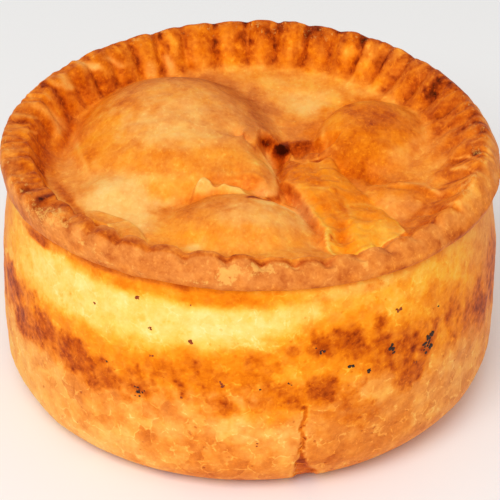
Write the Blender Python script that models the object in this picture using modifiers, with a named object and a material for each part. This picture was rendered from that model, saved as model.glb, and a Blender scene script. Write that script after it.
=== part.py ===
"""Pork pie: a raised pastry case, a crimped rim and a sunken, torn lid, baked into one solid.

The pie is turned from one profile and then worked like dough: the wall is pushed out of round,
the rim is pinched into crimps, and the lid is puffed up into domes round a torn vent.
Units are metres, +Z is up, and the origin is the middle of the flat base.
"""

import math
from collections import namedtuple

import bpy
from mathutils import Vector

MM = 0.001

# Case: the raised wall and the base.
WALL_RADIUS = 47.4 * MM
WALL_BELLY = 0.8 * MM
CORNER_RADIUS = 10.4 * MM
NECK_RADIUS = 45.8 * MM
NECK_HEIGHT = 42.6 * MM
WALL_RINGS = 4
CORNER_RINGS = 4

# Rim: where the lid and the case are pinched together.
RIM_RADIUS = 47.0 * MM
LIP_HEIGHT = 46.0 * MM
LIP_UNDERSIDE = 1.4 * MM
CREST_RADIUS = 45.0 * MM
CREST_HEIGHT = 50.2 * MM
RIM_FOOT_RADIUS = 35.4 * MM
SHOULDER_RINGS = 3
SLOPE_RINGS = 4
# On one side the rim is rolled flat, so that its top is this much wider than elsewhere.
FLAT_WIDTH = 5.0 * MM
FLAT_SIDE = math.radians(200)

# Crimps: pinched marks across the rim, each with four rim segments.
CRIMP_COUNT = 48
SEGMENTS_PER_CRIMP = 4
CREST_CRIMP_DEPTH = 0.7 * MM
SLOPE_CRIMP_DEPTH = 1.3 * MM
CRIMP_SHARPNESS = 0.7

# Lid: the sheet inside the rim.
LID_HEIGHT = 42.6 * MM
LID_RINGS = 9
BLEND = 0.9 * MM
SAME_HEIGHT = 0.001 * MM

# Unevenness from raising by hand, each as (waves round the pie, cosine share, sine share): how far
# out of round the wall and the rim are, how the height varies, and how full the bottom corner is.
WALL_WAVES = ((2, -0.002, 0.003), (3, -0.007, -0.003))
RIM_WAVES = ((2, 0.002, 0.002), (3, 0.002, -0.004))
HEIGHT_WAVES = ((1, 0.006, 0.003), (2, -0.011, 0.010))
CORNER_WAVES = ((1, 0.20, 0.15),)
# The crest and all inside it lie this far off the wall's middle.
CREST_SHIFT = Vector((-1.6, 1.0, 0.0)) * MM
# The crimps are unevenly spaced: (waves round the pie, swing in crimps, phase in radians).
SPACING_WAVES = ((3, 0.16, 0.7), (7, 0.09, 2.1), (11, 0.04, 4.4))

Puff = namedtuple("Puff", "x y half_length half_width turn top roundness")
Dent = namedtuple("Dent", "x y half_length half_width turn depth")

# Domes that the steam raised in the lid, in millimetres and degrees.
PUFFS = (
    Puff(-14.5, 6.5, 26.0, 20.5, 96, 50.6, 0.55),  # the large left dome
    Puff(-21.0, -15.5, 17.0, 12.0, 60, 46.8, 0.60),  # its flank towards the front left
    Puff(-2.5, -32.5, 15.0, 12.5, 0, 50.0, 0.55),  # the front dome
    Puff(22.8, 6.0, 13.5, 12.0, 80, 47.8, 0.60),  # the right dome
    Puff(14.0, -11.0, 10.0, 6.5, -70, 46.6, 0.45),  # the upper part of the torn flap
    Puff(19.8, -31.0, 12.5, 8.0, -66, 49.0, 0.45),  # its lower part, against the rim
)

# The vent and the tear between the domes, in millimetres and degrees.
DENTS = (
    Dent(4.8, 11.0, 4.2, 2.8, -20, 5.0),  # the vent
    Dent(5.0, -16.5, 8.5, 2.6, -48, 3.2),  # the tear behind the front dome
    Dent(10.5, 2.0, 4.5, 2.4, 10, 2.2),  # the hollow under the edge of the right dome
)


def out_of_round(angle, waves):
    """Returns the factor by which a ring is wider or higher than a true circle at this angle."""
    return 1.0 + sum(c * math.cos(n * angle) + s * math.sin(n * angle) for n, c, s in waves)


def smooth_max(a, b, blend):
    """Returns the larger of two heights, with the crease between them rounded over blend."""
    gap = max(blend - abs(a - b), 0.0) / blend
    return max(a, b) + gap * gap * blend / 4


def ellipse_distance(x, y, spot):
    """Returns how far a point lies from the middle of a turned ellipse, as a share of its radius."""
    turn = math.radians(spot.turn)
    dx = x - spot.x * MM
    dy = y - spot.y * MM
    along = (dx * math.cos(turn) + dy * math.sin(turn)) / (spot.half_length * MM)
    across = (dy * math.cos(turn) - dx * math.sin(turn)) / (spot.half_width * MM)
    return math.hypot(along, across)


def lid_height(x, y):
    """Returns the height of the lid's surface over a point of the plan."""
    height = LID_HEIGHT
    for puff in PUFFS:
        share = ellipse_distance(x, y, puff)
        if share < 1.0:
            rise = (puff.top * MM - LID_HEIGHT) * (1.0 - share * share) ** puff.roundness
            height = smooth_max(height, LID_HEIGHT + rise, BLEND)
    for dent in DENTS:
        height -= dent.depth * MM * math.exp(-ellipse_distance(x, y, dent) ** 2)
    return height


def rim_height(radius, angle):
    """Returns the height of the rim's inner side: a flat top, then a half wave down to the lid."""
    flat = FLAT_WIDTH * (0.5 + 0.5 * math.cos(angle - FLAT_SIDE)) ** 2
    edge = CREST_RADIUS - flat
    share = min(max((edge - radius) / (edge - RIM_FOOT_RADIUS), 0.0), 1.0)
    return LID_HEIGHT + (CREST_HEIGHT - LID_HEIGHT) * (0.5 + 0.5 * math.cos(math.pi * share))


def profile():
    """Returns the (radius, height) points of the turned shape, from the lid's middle to the base's.

    Inside the crest it is level: the lid and the rim's inner side get their heights in work_dough.
    """
    points = [(RIM_FOOT_RADIUS * i / LID_RINGS, CREST_HEIGHT) for i in range(LID_RINGS)]
    for i in range(SLOPE_RINGS):
        radius = RIM_FOOT_RADIUS + (CREST_RADIUS - RIM_FOOT_RADIUS) * i / SLOPE_RINGS
        points.append((radius, CREST_HEIGHT))
    for i in range(SHOULDER_RINGS + 1):
        turn = math.radians(90) * (1 - i / SHOULDER_RINGS)
        radius = CREST_RADIUS + (RIM_RADIUS - CREST_RADIUS) * math.cos(turn)
        points.append((radius, LIP_HEIGHT + (CREST_HEIGHT - LIP_HEIGHT) * math.sin(turn)))
    under_lip = NECK_RADIUS + 0.8 * (RIM_RADIUS - NECK_RADIUS)
    points.append((under_lip, LIP_HEIGHT - LIP_UNDERSIDE))
    for i in range(WALL_RINGS):
        share = i / WALL_RINGS
        belly = WALL_BELLY * 4 * share * (1 - share)
        radius = NECK_RADIUS + (WALL_RADIUS - NECK_RADIUS) * share + belly
        points.append((radius, NECK_HEIGHT + (CORNER_RADIUS - NECK_HEIGHT) * share))
    for i in range(CORNER_RINGS + 1):
        turn = math.radians(90) * i / CORNER_RINGS
        radius = WALL_RADIUS - CORNER_RADIUS * (1 - math.cos(turn))
        points.append((radius, CORNER_RADIUS * (1 - math.sin(turn))))
    points.append((0.0, 0.0))
    return points


def turn_profile(name, points, steps):
    """Returns a mesh turned from a profile in the XZ plane."""
    outline = bpy.data.meshes.new(name + "_outline")
    edges = [(i, i + 1) for i in range(len(points) - 1)]
    outline.from_pydata([(r, 0.0, z) for r, z in points], edges, [])
    turned = bpy.data.objects.new(name + "_turned", outline)
    bpy.context.scene.collection.objects.link(turned)
    screw = turned.modifiers.new("turn", "SCREW")
    screw.steps = steps
    screw.render_steps = steps
    screw.use_merge_vertices = True
    screw.merge_threshold = 0.00005
    graph = bpy.context.evaluated_depsgraph_get()
    mesh = bpy.data.meshes.new_from_object(turned.evaluated_get(graph))
    bpy.data.objects.remove(turned)
    bpy.data.meshes.remove(outline)
    mesh.name = name
    return mesh


def crimp_bulge(angle):
    """Returns 1 on the middle of a crimp and 0 in the sharp groove between two."""
    return abs(math.sin(CRIMP_COUNT * angle / 2)) ** CRIMP_SHARPNESS


def worked_lid(radius, angle, even_angle):
    """Returns where a point inside the crest ends up, with the crimps and the domes."""
    in_groove = 1 - crimp_bulge(even_angle)
    share = max(0.0, (radius - RIM_FOOT_RADIUS) / (CREST_RADIUS - RIM_FOOT_RADIUS))
    outwards = SLOPE_CRIMP_DEPTH * math.sin(math.pi * share) * in_groove
    reach = radius * out_of_round(angle, RIM_WAVES) + outwards
    spot = Vector((math.cos(angle), math.sin(angle), 0.0)) * reach + CREST_SHIFT
    slope = rim_height(radius, angle) - CREST_CRIMP_DEPTH * math.sqrt(share) * in_groove
    spot.z = smooth_max(slope, lid_height(spot.x, spot.y), BLEND)
    return spot


def worked_case(radius, height, angle, even_angle):
    """Returns where a point of the rim's outer side, the wall or the base ends up."""
    on_rim = min(max((height - NECK_HEIGHT) / (LIP_HEIGHT - NECK_HEIGHT), 0.0), 1.0)
    rim_round = out_of_round(angle, RIM_WAVES)
    reach = radius * (out_of_round(angle, WALL_WAVES) * (1 - on_rim) + rim_round * on_rim)
    if height < CORNER_RADIUS:
        fullness = out_of_round(angle, CORNER_WAVES) - 1
        reach -= fullness * (WALL_RADIUS - radius)
        height *= 1 + fullness * (1 - height / CORNER_RADIUS)
    spot = Vector((math.cos(angle), math.sin(angle), 0.0)) * reach
    if height > LIP_HEIGHT:
        up_shoulder = (height - LIP_HEIGHT) / (CREST_HEIGHT - LIP_HEIGHT)
        spot += CREST_SHIFT * up_shoulder
        height -= CREST_CRIMP_DEPTH * math.sqrt(up_shoulder) * (1 - crimp_bulge(even_angle))
    spot.z = height
    return spot


def work_dough(point):
    """Returns where a point of the turned shape ends up once the pie is raised, crimped and baked."""
    radius = math.hypot(point.x, point.y)
    even_angle = math.atan2(point.y, point.x)
    angle = even_angle + sum(
        swing * math.tau / CRIMP_COUNT * math.sin(n * even_angle + phase)
        for n, swing, phase in SPACING_WAVES
    )
    if point.z > CREST_HEIGHT - SAME_HEIGHT:
        spot = worked_lid(radius, angle, even_angle)
    else:
        spot = worked_case(radius, point.z, angle, even_angle)
    spot.z *= 1 + (out_of_round(angle, HEIGHT_WAVES) - 1) * min(spot.z / CREST_HEIGHT, 1.0)
    return spot


def centre_on_origin(mesh):
    """Moves a mesh sideways so that the middle of its box is on the Z axis."""
    xs = [v.co.x for v in mesh.vertices]
    ys = [v.co.y for v in mesh.vertices]
    middle = Vector(((min(xs) + max(xs)) / 2, (min(ys) + max(ys)) / 2, 0.0))
    for vertex in mesh.vertices:
        vertex.co -= middle


def pastry_material():
    """Returns the baked golden pastry material."""
    material = bpy.data.materials.new("baked_pastry")
    material.use_nodes = True
    shader = material.node_tree.nodes["Principled BSDF"]
    shader.inputs["Base Color"].default_value = (0.72, 0.36, 0.10, 1.0)
    shader.inputs["Roughness"].default_value = 0.55
    shader.inputs["Metallic"].default_value = 0.0
    return material


def build_pork_pie(collection):
    """Builds the whole pie as one solid and returns its object."""
    mesh = turn_profile("pork_pie", profile(), CRIMP_COUNT * SEGMENTS_PER_CRIMP)
    for vertex in mesh.vertices:
        vertex.co = work_dough(vertex.co)
    centre_on_origin(mesh)
    mesh.materials.clear()
    mesh.materials.append(pastry_material())
    mesh.shade_smooth()
    mesh.set_sharp_from_angle(angle=math.radians(50))
    pie = bpy.data.objects.new("pork_pie", mesh)
    collection.objects.link(pie)
    return pie


def main():
    """Clears the scene and builds the pie in its own collection."""
    for old in list(bpy.data.objects):
        bpy.data.objects.remove(old)
    collection = bpy.data.collections.new("pork_pie")
    bpy.context.scene.collection.children.link(collection)
    build_pork_pie(collection)


main()
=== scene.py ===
"""A hand-raised pork pie, baked until its crust browned, split and blistered.

The pie is one loaf of dough, shown here as a few pieces that meet in its folds: the case with its
burnt band, the crimped rim, and the puffed and torn lid. Burnt and toasted specks sit on the case.
Every piece is turned or draped from one shared form, so the pieces meet without gaps.
Shapes are worked out in millimetres and written in metres, with +Z up and the base on Z = 0.
Lengths are in millimetres and angles in radians where nothing else is said.
"""

import itertools
import logging
import math
from collections.abc import Callable
from dataclasses import dataclass, field
from enum import Enum

import bmesh
import bpy
import numpy as np
from mathutils import Matrix, Vector


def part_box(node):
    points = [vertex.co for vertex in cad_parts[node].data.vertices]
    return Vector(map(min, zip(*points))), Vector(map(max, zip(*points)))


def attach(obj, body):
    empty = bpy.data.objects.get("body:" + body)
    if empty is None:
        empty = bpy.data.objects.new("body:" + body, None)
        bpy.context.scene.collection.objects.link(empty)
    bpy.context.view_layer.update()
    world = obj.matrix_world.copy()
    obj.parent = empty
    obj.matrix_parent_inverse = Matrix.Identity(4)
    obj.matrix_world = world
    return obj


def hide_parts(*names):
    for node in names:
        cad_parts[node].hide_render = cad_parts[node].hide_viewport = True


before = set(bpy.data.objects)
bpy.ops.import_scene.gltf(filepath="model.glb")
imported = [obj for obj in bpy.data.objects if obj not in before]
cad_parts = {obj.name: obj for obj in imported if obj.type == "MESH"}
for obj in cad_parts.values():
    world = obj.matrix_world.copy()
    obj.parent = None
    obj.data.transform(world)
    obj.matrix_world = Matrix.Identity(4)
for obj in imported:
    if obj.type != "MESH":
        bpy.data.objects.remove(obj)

LOG = logging.getLogger("pork_pie")
NODE = "pork_pie"
BODY = "root"
MM = 0.001
# The lid is painted on a slanted plan, where a spot counts as this much further back for each
# millimetre that it lies above the level.
SLANT = 1.609
SLANT_LEVEL = 46.5
# How far along the wall and along the rim one degree round the pie reaches.
WALL_ARC = 0.83
RIM_ARC = 0.8
Array = np.ndarray
# What a patch's row and a smudge's row mean where they stop early: soft, ragged, turn and so on.
USUAL_EDGE = (60, 30, 0, 100, 2)
SMUDGE_EDGE = (70, 0, 0)

# Clusters of specks on the wall: degrees, height, width, height of the cluster, count, size in mm.
BURNT_CLUSTERS = (
    (-46.6, 28.2, 0.9, 0.8, 7, 0.42), (-47.6, 26.6, 1.1, 1, 8, 0.38),
    (-57.8, 29, 0.8, 1.1, 9, 0.34), (-68, 27.6, 0.8, 0.3, 4, 0.24),
    (-63.8, 25.8, 0.4, 0.7, 5, 0.28), (-74.8, 31.6, 0.7, 0.7, 6, 0.22),
    (-81.5, 25.4, 0.4, 0.3, 3, 0.2), (-115, 20.6, 1, 1, 12, 0.22), (-123.5, 25, 0.3, 0.3, 1, 0.22),
    (-88, 24.4, 0.3, 0.2, 2, 0.2), (-43.5, 33, 0.2, 0.2, 1, 0.24),
)
TOASTED_CLUSTERS = (
    (-116, 40, 0.3, 0.4, 4, 0.3), (-127, 36, 0.2, 0.2, 1, 0.24), (-103, 40.6, 0.2, 0.2, 2, 0.2),
    (-103, 33.2, 0.4, 0.5, 5, 0.28), (-112, 34.6, 1.2, 0.5, 4, 0.18),
    (-95.8, 25.4, 0.4, 0.6, 5, 0.26), (-105, 21.6, 0.3, 0.2, 2, 0.22),
    (-55.2, 36.4, 0.7, 0.4, 5, 0.26), (-112, 29, 0.3, 0.5, 2, 0.2), (-51, 24, 0.4, 0.4, 3, 0.24),
    (-88.6, 13, 0.2, 0.9, 3, 0.2),
)


class Tone(Enum):
    """The values that each point of the dough carries for its finish."""

    # How brown a point is painted: mostly the crust's browning, but in places also painted shade
    # and painted highlights.
    BAKE = "bake"
    MATT = "matt"
    FLOUR = "flour"
    CRUMB = "crumb"


def linear(red: float, green: float, blue: float) -> tuple[float, float, float, float]:
    """Turns a display colour into the linear one that shaders use.

    Args:
        red: Red, 0 to 255.
        green: Green, 0 to 255.
        blue: Blue, 0 to 255.

    Returns:
        The linear colour with full alpha.
    """
    shares = []
    for value in (red, green, blue):
        share = value / 255
        shares.append(share / 12.92 if share <= 0.04045 else ((share + 0.055) / 1.055) ** 2.4)
    return (*shares, 1.0)


def ease(low: float, high: float, value: Array) -> Array:
    """Rises smoothly from 0 at low to 1 at high."""
    share = np.clip((value - low) / (high - low), 0.0, 1.0)
    return share * share * (3 - 2 * share)


def smooth_max(a: Array, b: Array, blend: float) -> Array:
    """Takes the larger of two heights, with the crease between them rounded by blend."""
    gap = np.maximum(blend - np.abs(a - b), 0.0) / blend
    return np.maximum(a, b) + gap * gap * blend / 4


def softened(values: Array) -> Array:
    """Evens out values on closed rings a little, so that steep edges show no teeth.

    Args:
        values: One row a ring, one column a step round it.

    Returns:
        The evened values.
    """
    even = (np.roll(values, 1, 1) + 2 * values + np.roll(values, -1, 1)) / 4
    padded = np.concatenate([even[:1], even, even[-1:]])
    return (padded[:-2] + 2 * padded[1:-1] + padded[2:]) / 4


class Grain:
    """Seeded smooth noise from -1 to 1, looked up for many points at once."""

    CELLS = 32

    def __init__(self, seed: int) -> None:
        """Draws the lattice and a turn that hides its axes.

        Args:
            seed: The number that fixes the pattern.
        """
        source = np.random.default_rng(seed)
        self.lattice = source.uniform(-1, 1, (self.CELLS,) * 3)
        self.turn = np.linalg.qr(source.normal(size=(3, 3)))[0]

    def at(self, points: Array, pitch: float) -> Array:
        """Looks the noise up.

        Args:
            points: Points in millimetres, one a row.
            pitch: The size of one lump.

        Returns:
            One value a point, -1 to 1.
        """
        spot = (points @ self.turn) / pitch
        cell = np.floor(spot).astype(int)
        part = spot - cell
        part = part * part * (3 - 2 * part)
        total = np.zeros(len(points))
        for corner in itertools.product((0, 1), repeat=3):
            index = (cell + corner) % self.CELLS
            share = np.prod(np.where(corner, part, 1 - part), axis=1)
            total += share * self.lattice[index[:, 0], index[:, 1], index[:, 2]]
        return total

    def layered(self, points: Array, pitch: float, layers: int = 3) -> Array:
        """Adds finer and fainter layers of the noise.

        Args:
            points: Points in millimetres, one a row.
            pitch: The size of the largest lumps.
            layers: How many layers there are.

        Returns:
            One value a point, about -1 to 1.
        """
        total = np.zeros(len(points))
        for layer in range(layers):
            total += self.at(points + 7.7 * layer, pitch / 2.1**layer) * 0.55**layer
        return total


@dataclass(frozen=True)
class Puff:
    """A dome that steam raised: a turned ellipse, in millimetres and degrees."""

    x: float
    y: float
    half_length: float
    half_width: float
    turn: float
    top: float
    roundness: float
    soft_side: float = 0.0
    softness: float = 0.0

    def distance(self, x: Array, y: Array) -> Array:
        """Measures how far points lie from the middle, 1 at the dome's edge.

        Args:
            x: Places to the right.
            y: Places to the back.

        Returns:
            The distances as shares of the dome's half size.
        """
        turn = math.radians(self.turn)
        dx, dy = x - self.x, y - self.y
        along = (dx * math.cos(turn) + dy * math.sin(turn)) / self.half_length
        across = (dy * math.cos(turn) - dx * math.sin(turn)) / self.half_width
        return np.hypot(along, across)

    def height(self, x: Array, y: Array, foot: float) -> Array:
        """Gives the dome's height, foot outside it.

        Args:
            x: Places to the right.
            y: Places to the back.
            foot: The height that it rises from.

        Returns:
            The heights.
        """
        share = np.minimum(self.distance(x, y), 1.0)
        side = np.arctan2(y - self.y, x - self.x) - math.radians(self.soft_side)
        power = self.roundness + self.softness * (0.5 + 0.5 * np.cos(side)) ** 6
        return foot + (self.top - foot) * (1.0 - share * share) ** power


@dataclass(frozen=True)
class Line:
    """A bent line on a surface, each point as (x, y, value, half width)."""

    points: tuple[tuple[float, float, float, float], ...]

    def near(self, x: Array, y: Array) -> tuple[Array, Array, Array]:
        """Finds the nearest place on the line for many points.

        Args:
            x: Places to the right.
            y: Places to the back.

        Returns:
            The distance to the line, its value there and its half width there.
        """
        best = np.full(np.shape(x), 1e9)
        value = np.zeros(np.shape(x))
        width = np.ones(np.shape(x))
        for first, last in zip(self.points, self.points[1:]):
            dx, dy = last[0] - first[0], last[1] - first[1]
            share = ((x - first[0]) * dx + (y - first[1]) * dy) / (dx * dx + dy * dy)
            share = np.clip(share, 0.0, 1.0)
            away = np.hypot(x - first[0] - share * dx, y - first[1] - share * dy)
            nearer = away < best
            best = np.where(nearer, away, best)
            value = np.where(nearer, first[2] + share * (last[2] - first[2]), value)
            width = np.where(nearer, first[3] + share * (last[3] - first[3]), width)
        return best, value, width

    def rise(self, x: Array, y: Array) -> Array:
        """Gives the line's value at each point, faded out softly over its half width."""
        away, value, width = self.near(x, y)
        return value * np.exp(-((away / width) ** 2))


@dataclass(frozen=True)
class Opening:
    """A torn opening in the lid: its outline, how steep its walls are, and its floor."""

    outline: tuple[tuple[float, float], ...]
    floor: tuple[tuple[float, float, float], ...]
    steepness: float
    ragged: float

    def inside(self, x: Array, y: Array) -> Array:
        """Measures how far points lie inside the outline, below 0 outside it.

        Args:
            x: Places to the right.
            y: Places to the back.

        Returns:
            The signed distances.
        """
        closed = tuple((*p, 0.0, 1.0) for p in (*self.outline, self.outline[0]))
        away = Line(closed).near(x, y)[0]
        within = np.zeros(np.shape(x), bool)
        for (x0, y0, *_), (x1, y1, *_) in zip(closed, closed[1:]):
            spans = (y0 > y) != (y1 > y)
            crossing = x0 + (x1 - x0) * (y - y0) / np.where(y1 == y0, 1e-9, y1 - y0)
            within ^= spans & (x < crossing)
        return np.where(within, away, -away)

    def floor_at(self, x: Array, y: Array) -> Array:
        """Gives the height of the floor between its stations.

        Args:
            x: Places to the right.
            y: Places to the back.

        Returns:
            The floor's heights.
        """
        total = np.zeros(np.shape(x))
        weight = np.zeros(np.shape(x))
        for fx, fy, fz in self.floor:
            share = 1 / ((x - fx) ** 2 + (y - fy) ** 2 + 0.3) ** 1.5
            total += share * fz
            weight += share
        return total / weight

    def cut(self, x: Array, y: Array, height: Array, fray: Array) -> Array:
        """Sinks the lid inside the outline.

        Args:
            x: Places to the right.
            y: Places to the back.
            height: The lid's heights before the cut.
            fray: Noise that makes the edge uneven.

        Returns:
            The heights after the cut.
        """
        depth = self.inside(x, y) + self.ragged * fray
        sunk = np.maximum(self.floor_at(x, y), height - self.steepness * np.maximum(depth, 0.0))
        return np.minimum(height, sunk)


class Drape:
    """The smoothest sheet through a set of heights."""

    def __init__(self, stations: tuple[tuple[float, float, float], ...]) -> None:
        """Fits the sheet.

        Args:
            stations: Each as (x, y, height).
        """
        data = np.array(stations, float)
        self.spots = data[:, :2]
        count = len(data)
        flat = np.hstack([np.ones((count, 1)), self.spots])
        system = np.zeros((count + 3, count + 3))
        system[:count, :count] = self.pull(self.spots[:, 0], self.spots[:, 1])
        system[:count, count:] = flat
        system[count:, :count] = flat.T
        self.weights = np.linalg.solve(system, np.concatenate([data[:, 2], np.zeros(3)]))

    def pull(self, x: Array, y: Array) -> Array:
        """Gives how each station's bend is felt at many points."""
        square = (x[:, None] - self.spots[:, 0]) ** 2 + (y[:, None] - self.spots[:, 1]) ** 2
        return square * np.log(square + 1e-9)

    def at(self, x: Array, y: Array) -> Array:
        """Gives the sheet's heights."""
        bends = self.pull(x, y) @ self.weights[:-3]
        return bends + self.weights[-3] + self.weights[-2] * x + self.weights[-1] * y


def net_row(bake: float, matt: float, *spots: tuple) -> tuple:
    """Gives one row of a net whose points, as (x, place on the plan, height), bake alike."""
    return tuple((*spot, bake, matt) for spot in spots)


class Facets:
    """A crumpled layer of crust, as a net of flat facets that lies over the lid.

    Each net point is (place to the right, place on the slanted plan, height, bake, matt).
    """

    def __init__(
        self, net: tuple, drop: float = 3.0, ragged: float = 0.3, crumple: float = 0.4
    ) -> None:
        """Lays the net out.

        Args:
            net: Rows of net points.
            drop: How steeply the layer's edge falls.
            ragged: How uneven its edge is.
            crumple: How deep its creases are.
        """
        self.net = np.array(net, float)
        self.net[..., 1] -= SLANT * (self.net[..., 2] - SLANT_LEVEL)
        self.drop = drop
        self.ragged = ragged
        self.crumple = crumple
        border = [*self.net[0], *self.net[1:, -1], *self.net[-1, -2::-1], *self.net[-2:0:-1, 0]]
        self.outline = Line(tuple((p[0], p[1], p[2], 1.0) for p in [*border, border[0]]))
        self.low = self.net[..., :2].reshape(-1, 2).min(0) - 2.5
        self.high = self.net[..., :2].reshape(-1, 2).max(0) + 2.5

    def look_up(self, x: Array, y: Array) -> tuple[Array, Array]:
        """Reads the net under many points.

        Args:
            x: Places to the right.
            y: Places to the back.

        Returns:
            Height, bake and matt as columns, and whether each point is on the net.
        """
        values = np.zeros((len(x), 3))
        on_net = np.zeros(len(x), bool)
        rows, columns = self.net.shape[:2]
        for row, column in itertools.product(range(rows - 1), range(columns - 1)):
            a, b = self.net[row, column], self.net[row, column + 1]
            c, d = self.net[row + 1, column], self.net[row + 1, column + 1]
            halves = ((a, b, c), (b, d, c)) if (row + column) % 2 else ((a, b, d), (a, d, c))
            for p, q, r in halves:
                area = (q[0] - p[0]) * (r[1] - p[1]) - (r[0] - p[0]) * (q[1] - p[1])
                if abs(area) < 1e-9:
                    continue
                sq = ((x - p[0]) * (r[1] - p[1]) - (r[0] - p[0]) * (y - p[1])) / area
                sr = ((q[0] - p[0]) * (y - p[1]) - (x - p[0]) * (q[1] - p[1])) / area
                sp = 1 - sq - sr
                found = (sp >= -1e-6) & (sq >= -1e-6) & (sr >= -1e-6)
                share = np.stack([sp, sq, sr], 1)[found]
                values[found] = share @ np.array([p[2:], q[2:], r[2:]])
                on_net |= found
        return values, on_net

    def near(self, x: Array, y: Array) -> Array:
        """Picks the points that the layer may touch."""
        return (x > self.low[0]) & (x < self.high[0]) & (y > self.low[1]) & (y < self.high[1])

    def cover(self, x: Array, y: Array, height: Array, fray: Array, crease: Array) -> Array:
        """Lays the layer over the lid.

        Args:
            x: Places to the right.
            y: Places to the back.
            height: The lid's heights without the layer.
            fray: Noise that makes the edge uneven.
            crease: Noise with sharp ridges, which crumples the layer.

        Returns:
            The heights with the layer.
        """
        near = self.near(x, y)
        if not near.any():
            return height
        px, py = x[near] + self.ragged * fray[near], y[near] - self.ragged * fray[near]
        total = np.zeros(len(px))
        for dx, dy in ((0, 0), (0.35, 0), (-0.35, 0), (0, 0.35), (0, -0.35)):
            values, on_net = self.look_up(px + dx, py + dy)
            away, edge, _ = self.outline.near(px + dx, py + dy)
            total += np.where(on_net, values[:, 0], edge - self.drop * away) / 5
        total += self.crumple * crease[near]
        height = height.copy()
        height[near] = smooth_max(height[near], total, 0.25)
        return height

    def tint(self, x: Array, y: Array, fray: Array, bake: Array, matt: Array) -> None:
        """Colours the points under the layer, in place, with a pale broken edge.

        Args:
            x: Places to the right.
            y: Places to the back.
            fray: Noise that makes the edge uneven.
            bake: The bake values to change.
            matt: The matt values to change.
        """
        near = np.flatnonzero(self.near(x, y))
        if not len(near):
            return
        px, py = x[near] + self.ragged * fray[near], y[near] - self.ragged * fray[near]
        values, on_net = self.look_up(px, py)
        away = self.outline.near(px, py)[0]
        rim = 0.10 * np.exp(-((away / 0.35) ** 2))
        chosen = near[on_net]
        bake[chosen] = values[on_net, 1] - rim[on_net]
        matt[chosen] = values[on_net, 2]


@dataclass(frozen=True)
class Patch:
    """A soft-edged area of colour: a turned ellipse on a painted plan."""

    x: float
    y: float
    half_length: float
    half_width: float
    bake: float
    matt: float
    soft: float = 0.6
    ragged: float = 0.3
    turn: float = 0.0
    strength: float = 1.0
    squareness: float = 2.0

    def share(self, x: Array, y: Array, fray: Array) -> Array:
        """Gives how strongly the patch covers each point.

        Args:
            x: Places along the plan.
            y: Places across the plan.
            fray: Noise that makes the edge uneven.

        Returns:
            The cover, 0 to 1.
        """
        turn = math.radians(self.turn)
        dx, dy = x - self.x, y - self.y
        along = np.abs(dx * math.cos(turn) + dy * math.sin(turn)) / self.half_length
        across = np.abs(dy * math.cos(turn) - dx * math.sin(turn)) / self.half_width
        away = (along**self.squareness + across**self.squareness) ** (1 / self.squareness)
        away = away + self.ragged * fray
        return self.strength * (1 - ease(1 - self.soft, 1 + self.soft, away))


def patches(*rows: tuple) -> tuple[Patch, ...]:
    """Gives patches, in the order of their rows.

    Args:
        rows: Each as (x, y, half length, half width, bake, matt, soft, ragged, turn, strength,
            squareness), with shares in percent; all from soft on may be left out.

    Returns:
        The patches.
    """
    made = []
    for *size, bake, matt, soft, ragged, turn, strength, squareness in map(full_row, rows):
        shares = (bake / 100, matt / 100, soft / 100, ragged / 100)
        made.append(Patch(*size, *shares, turn, strength / 100, squareness))
    return tuple(made)


def full_row(row: tuple) -> tuple:
    """Completes a patch's row with the usual values."""
    return (*row, *USUAL_EDGE[len(row) - 6:])


def smudges(*rows: tuple) -> tuple[Patch, ...]:
    """Gives soft-edged areas that have a strength but no colour of their own.

    Args:
        rows: Each as (x, y, half length, half width, strength, soft, ragged, turn), with shares
            in percent, where the last three may be left out.

    Returns:
        The areas.
    """
    made = []
    for x, y, half_length, half_width, strength, *rest in rows:
        soft, ragged, turn = (*rest, *SMUDGE_EDGE[len(rest):])
        edge = (soft / 100, ragged / 100, turn, strength / 100)
        made.append(Patch(x, y, half_length, half_width, 0, 0, *edge))
    return tuple(made)


def strongest(areas: tuple[Patch, ...], ground: Array, *plan: Array) -> Array:
    """Gives the strongest cover of several areas, or of the ground, at each place on a plan."""
    return np.maximum.reduce([ground, *(area.share(*plan) for area in areas)])


@dataclass(frozen=True)
class Stroke:
    """A painted streak along a bent line, each point as (x, y, strength, half width)."""

    points: tuple[tuple[float, float, float, float], ...]
    bake: float
    matt: float
    ragged: float = 0.3

    def share(self, x: Array, y: Array, fray: Array) -> Array:
        """Gives how strongly the streak covers each point.

        Args:
            x: Places along the plan.
            y: Places across the plan.
            fray: Noise that makes the edge uneven.

        Returns:
            The cover, 0 to 1.
        """
        away, strength, width = Line(self.points).near(x, y)
        away = away / width + self.ragged * fray
        return strength * np.exp(-np.maximum(away, 0.0) ** 2)


def paint(
    marks: tuple[Patch | Stroke, ...], x: Array, y: Array, fray: Array, bake: Array, matt: Array
) -> tuple[Array, Array]:
    """Lays patches and streaks over a ground, one after another.

    Args:
        marks: The patches and streaks in order.
        x: Places along the plan.
        y: Places across the plan.
        fray: Noise that makes edges uneven.
        bake: How brown the ground is.
        matt: How dull the ground is.

    Returns:
        The painted bake and matt values.
    """
    for mark in marks:
        share = mark.share(x, y, fray)
        bake = bake + (mark.bake - bake) * share
        matt = matt + (mark.matt - matt) * share
    return bake, matt


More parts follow.
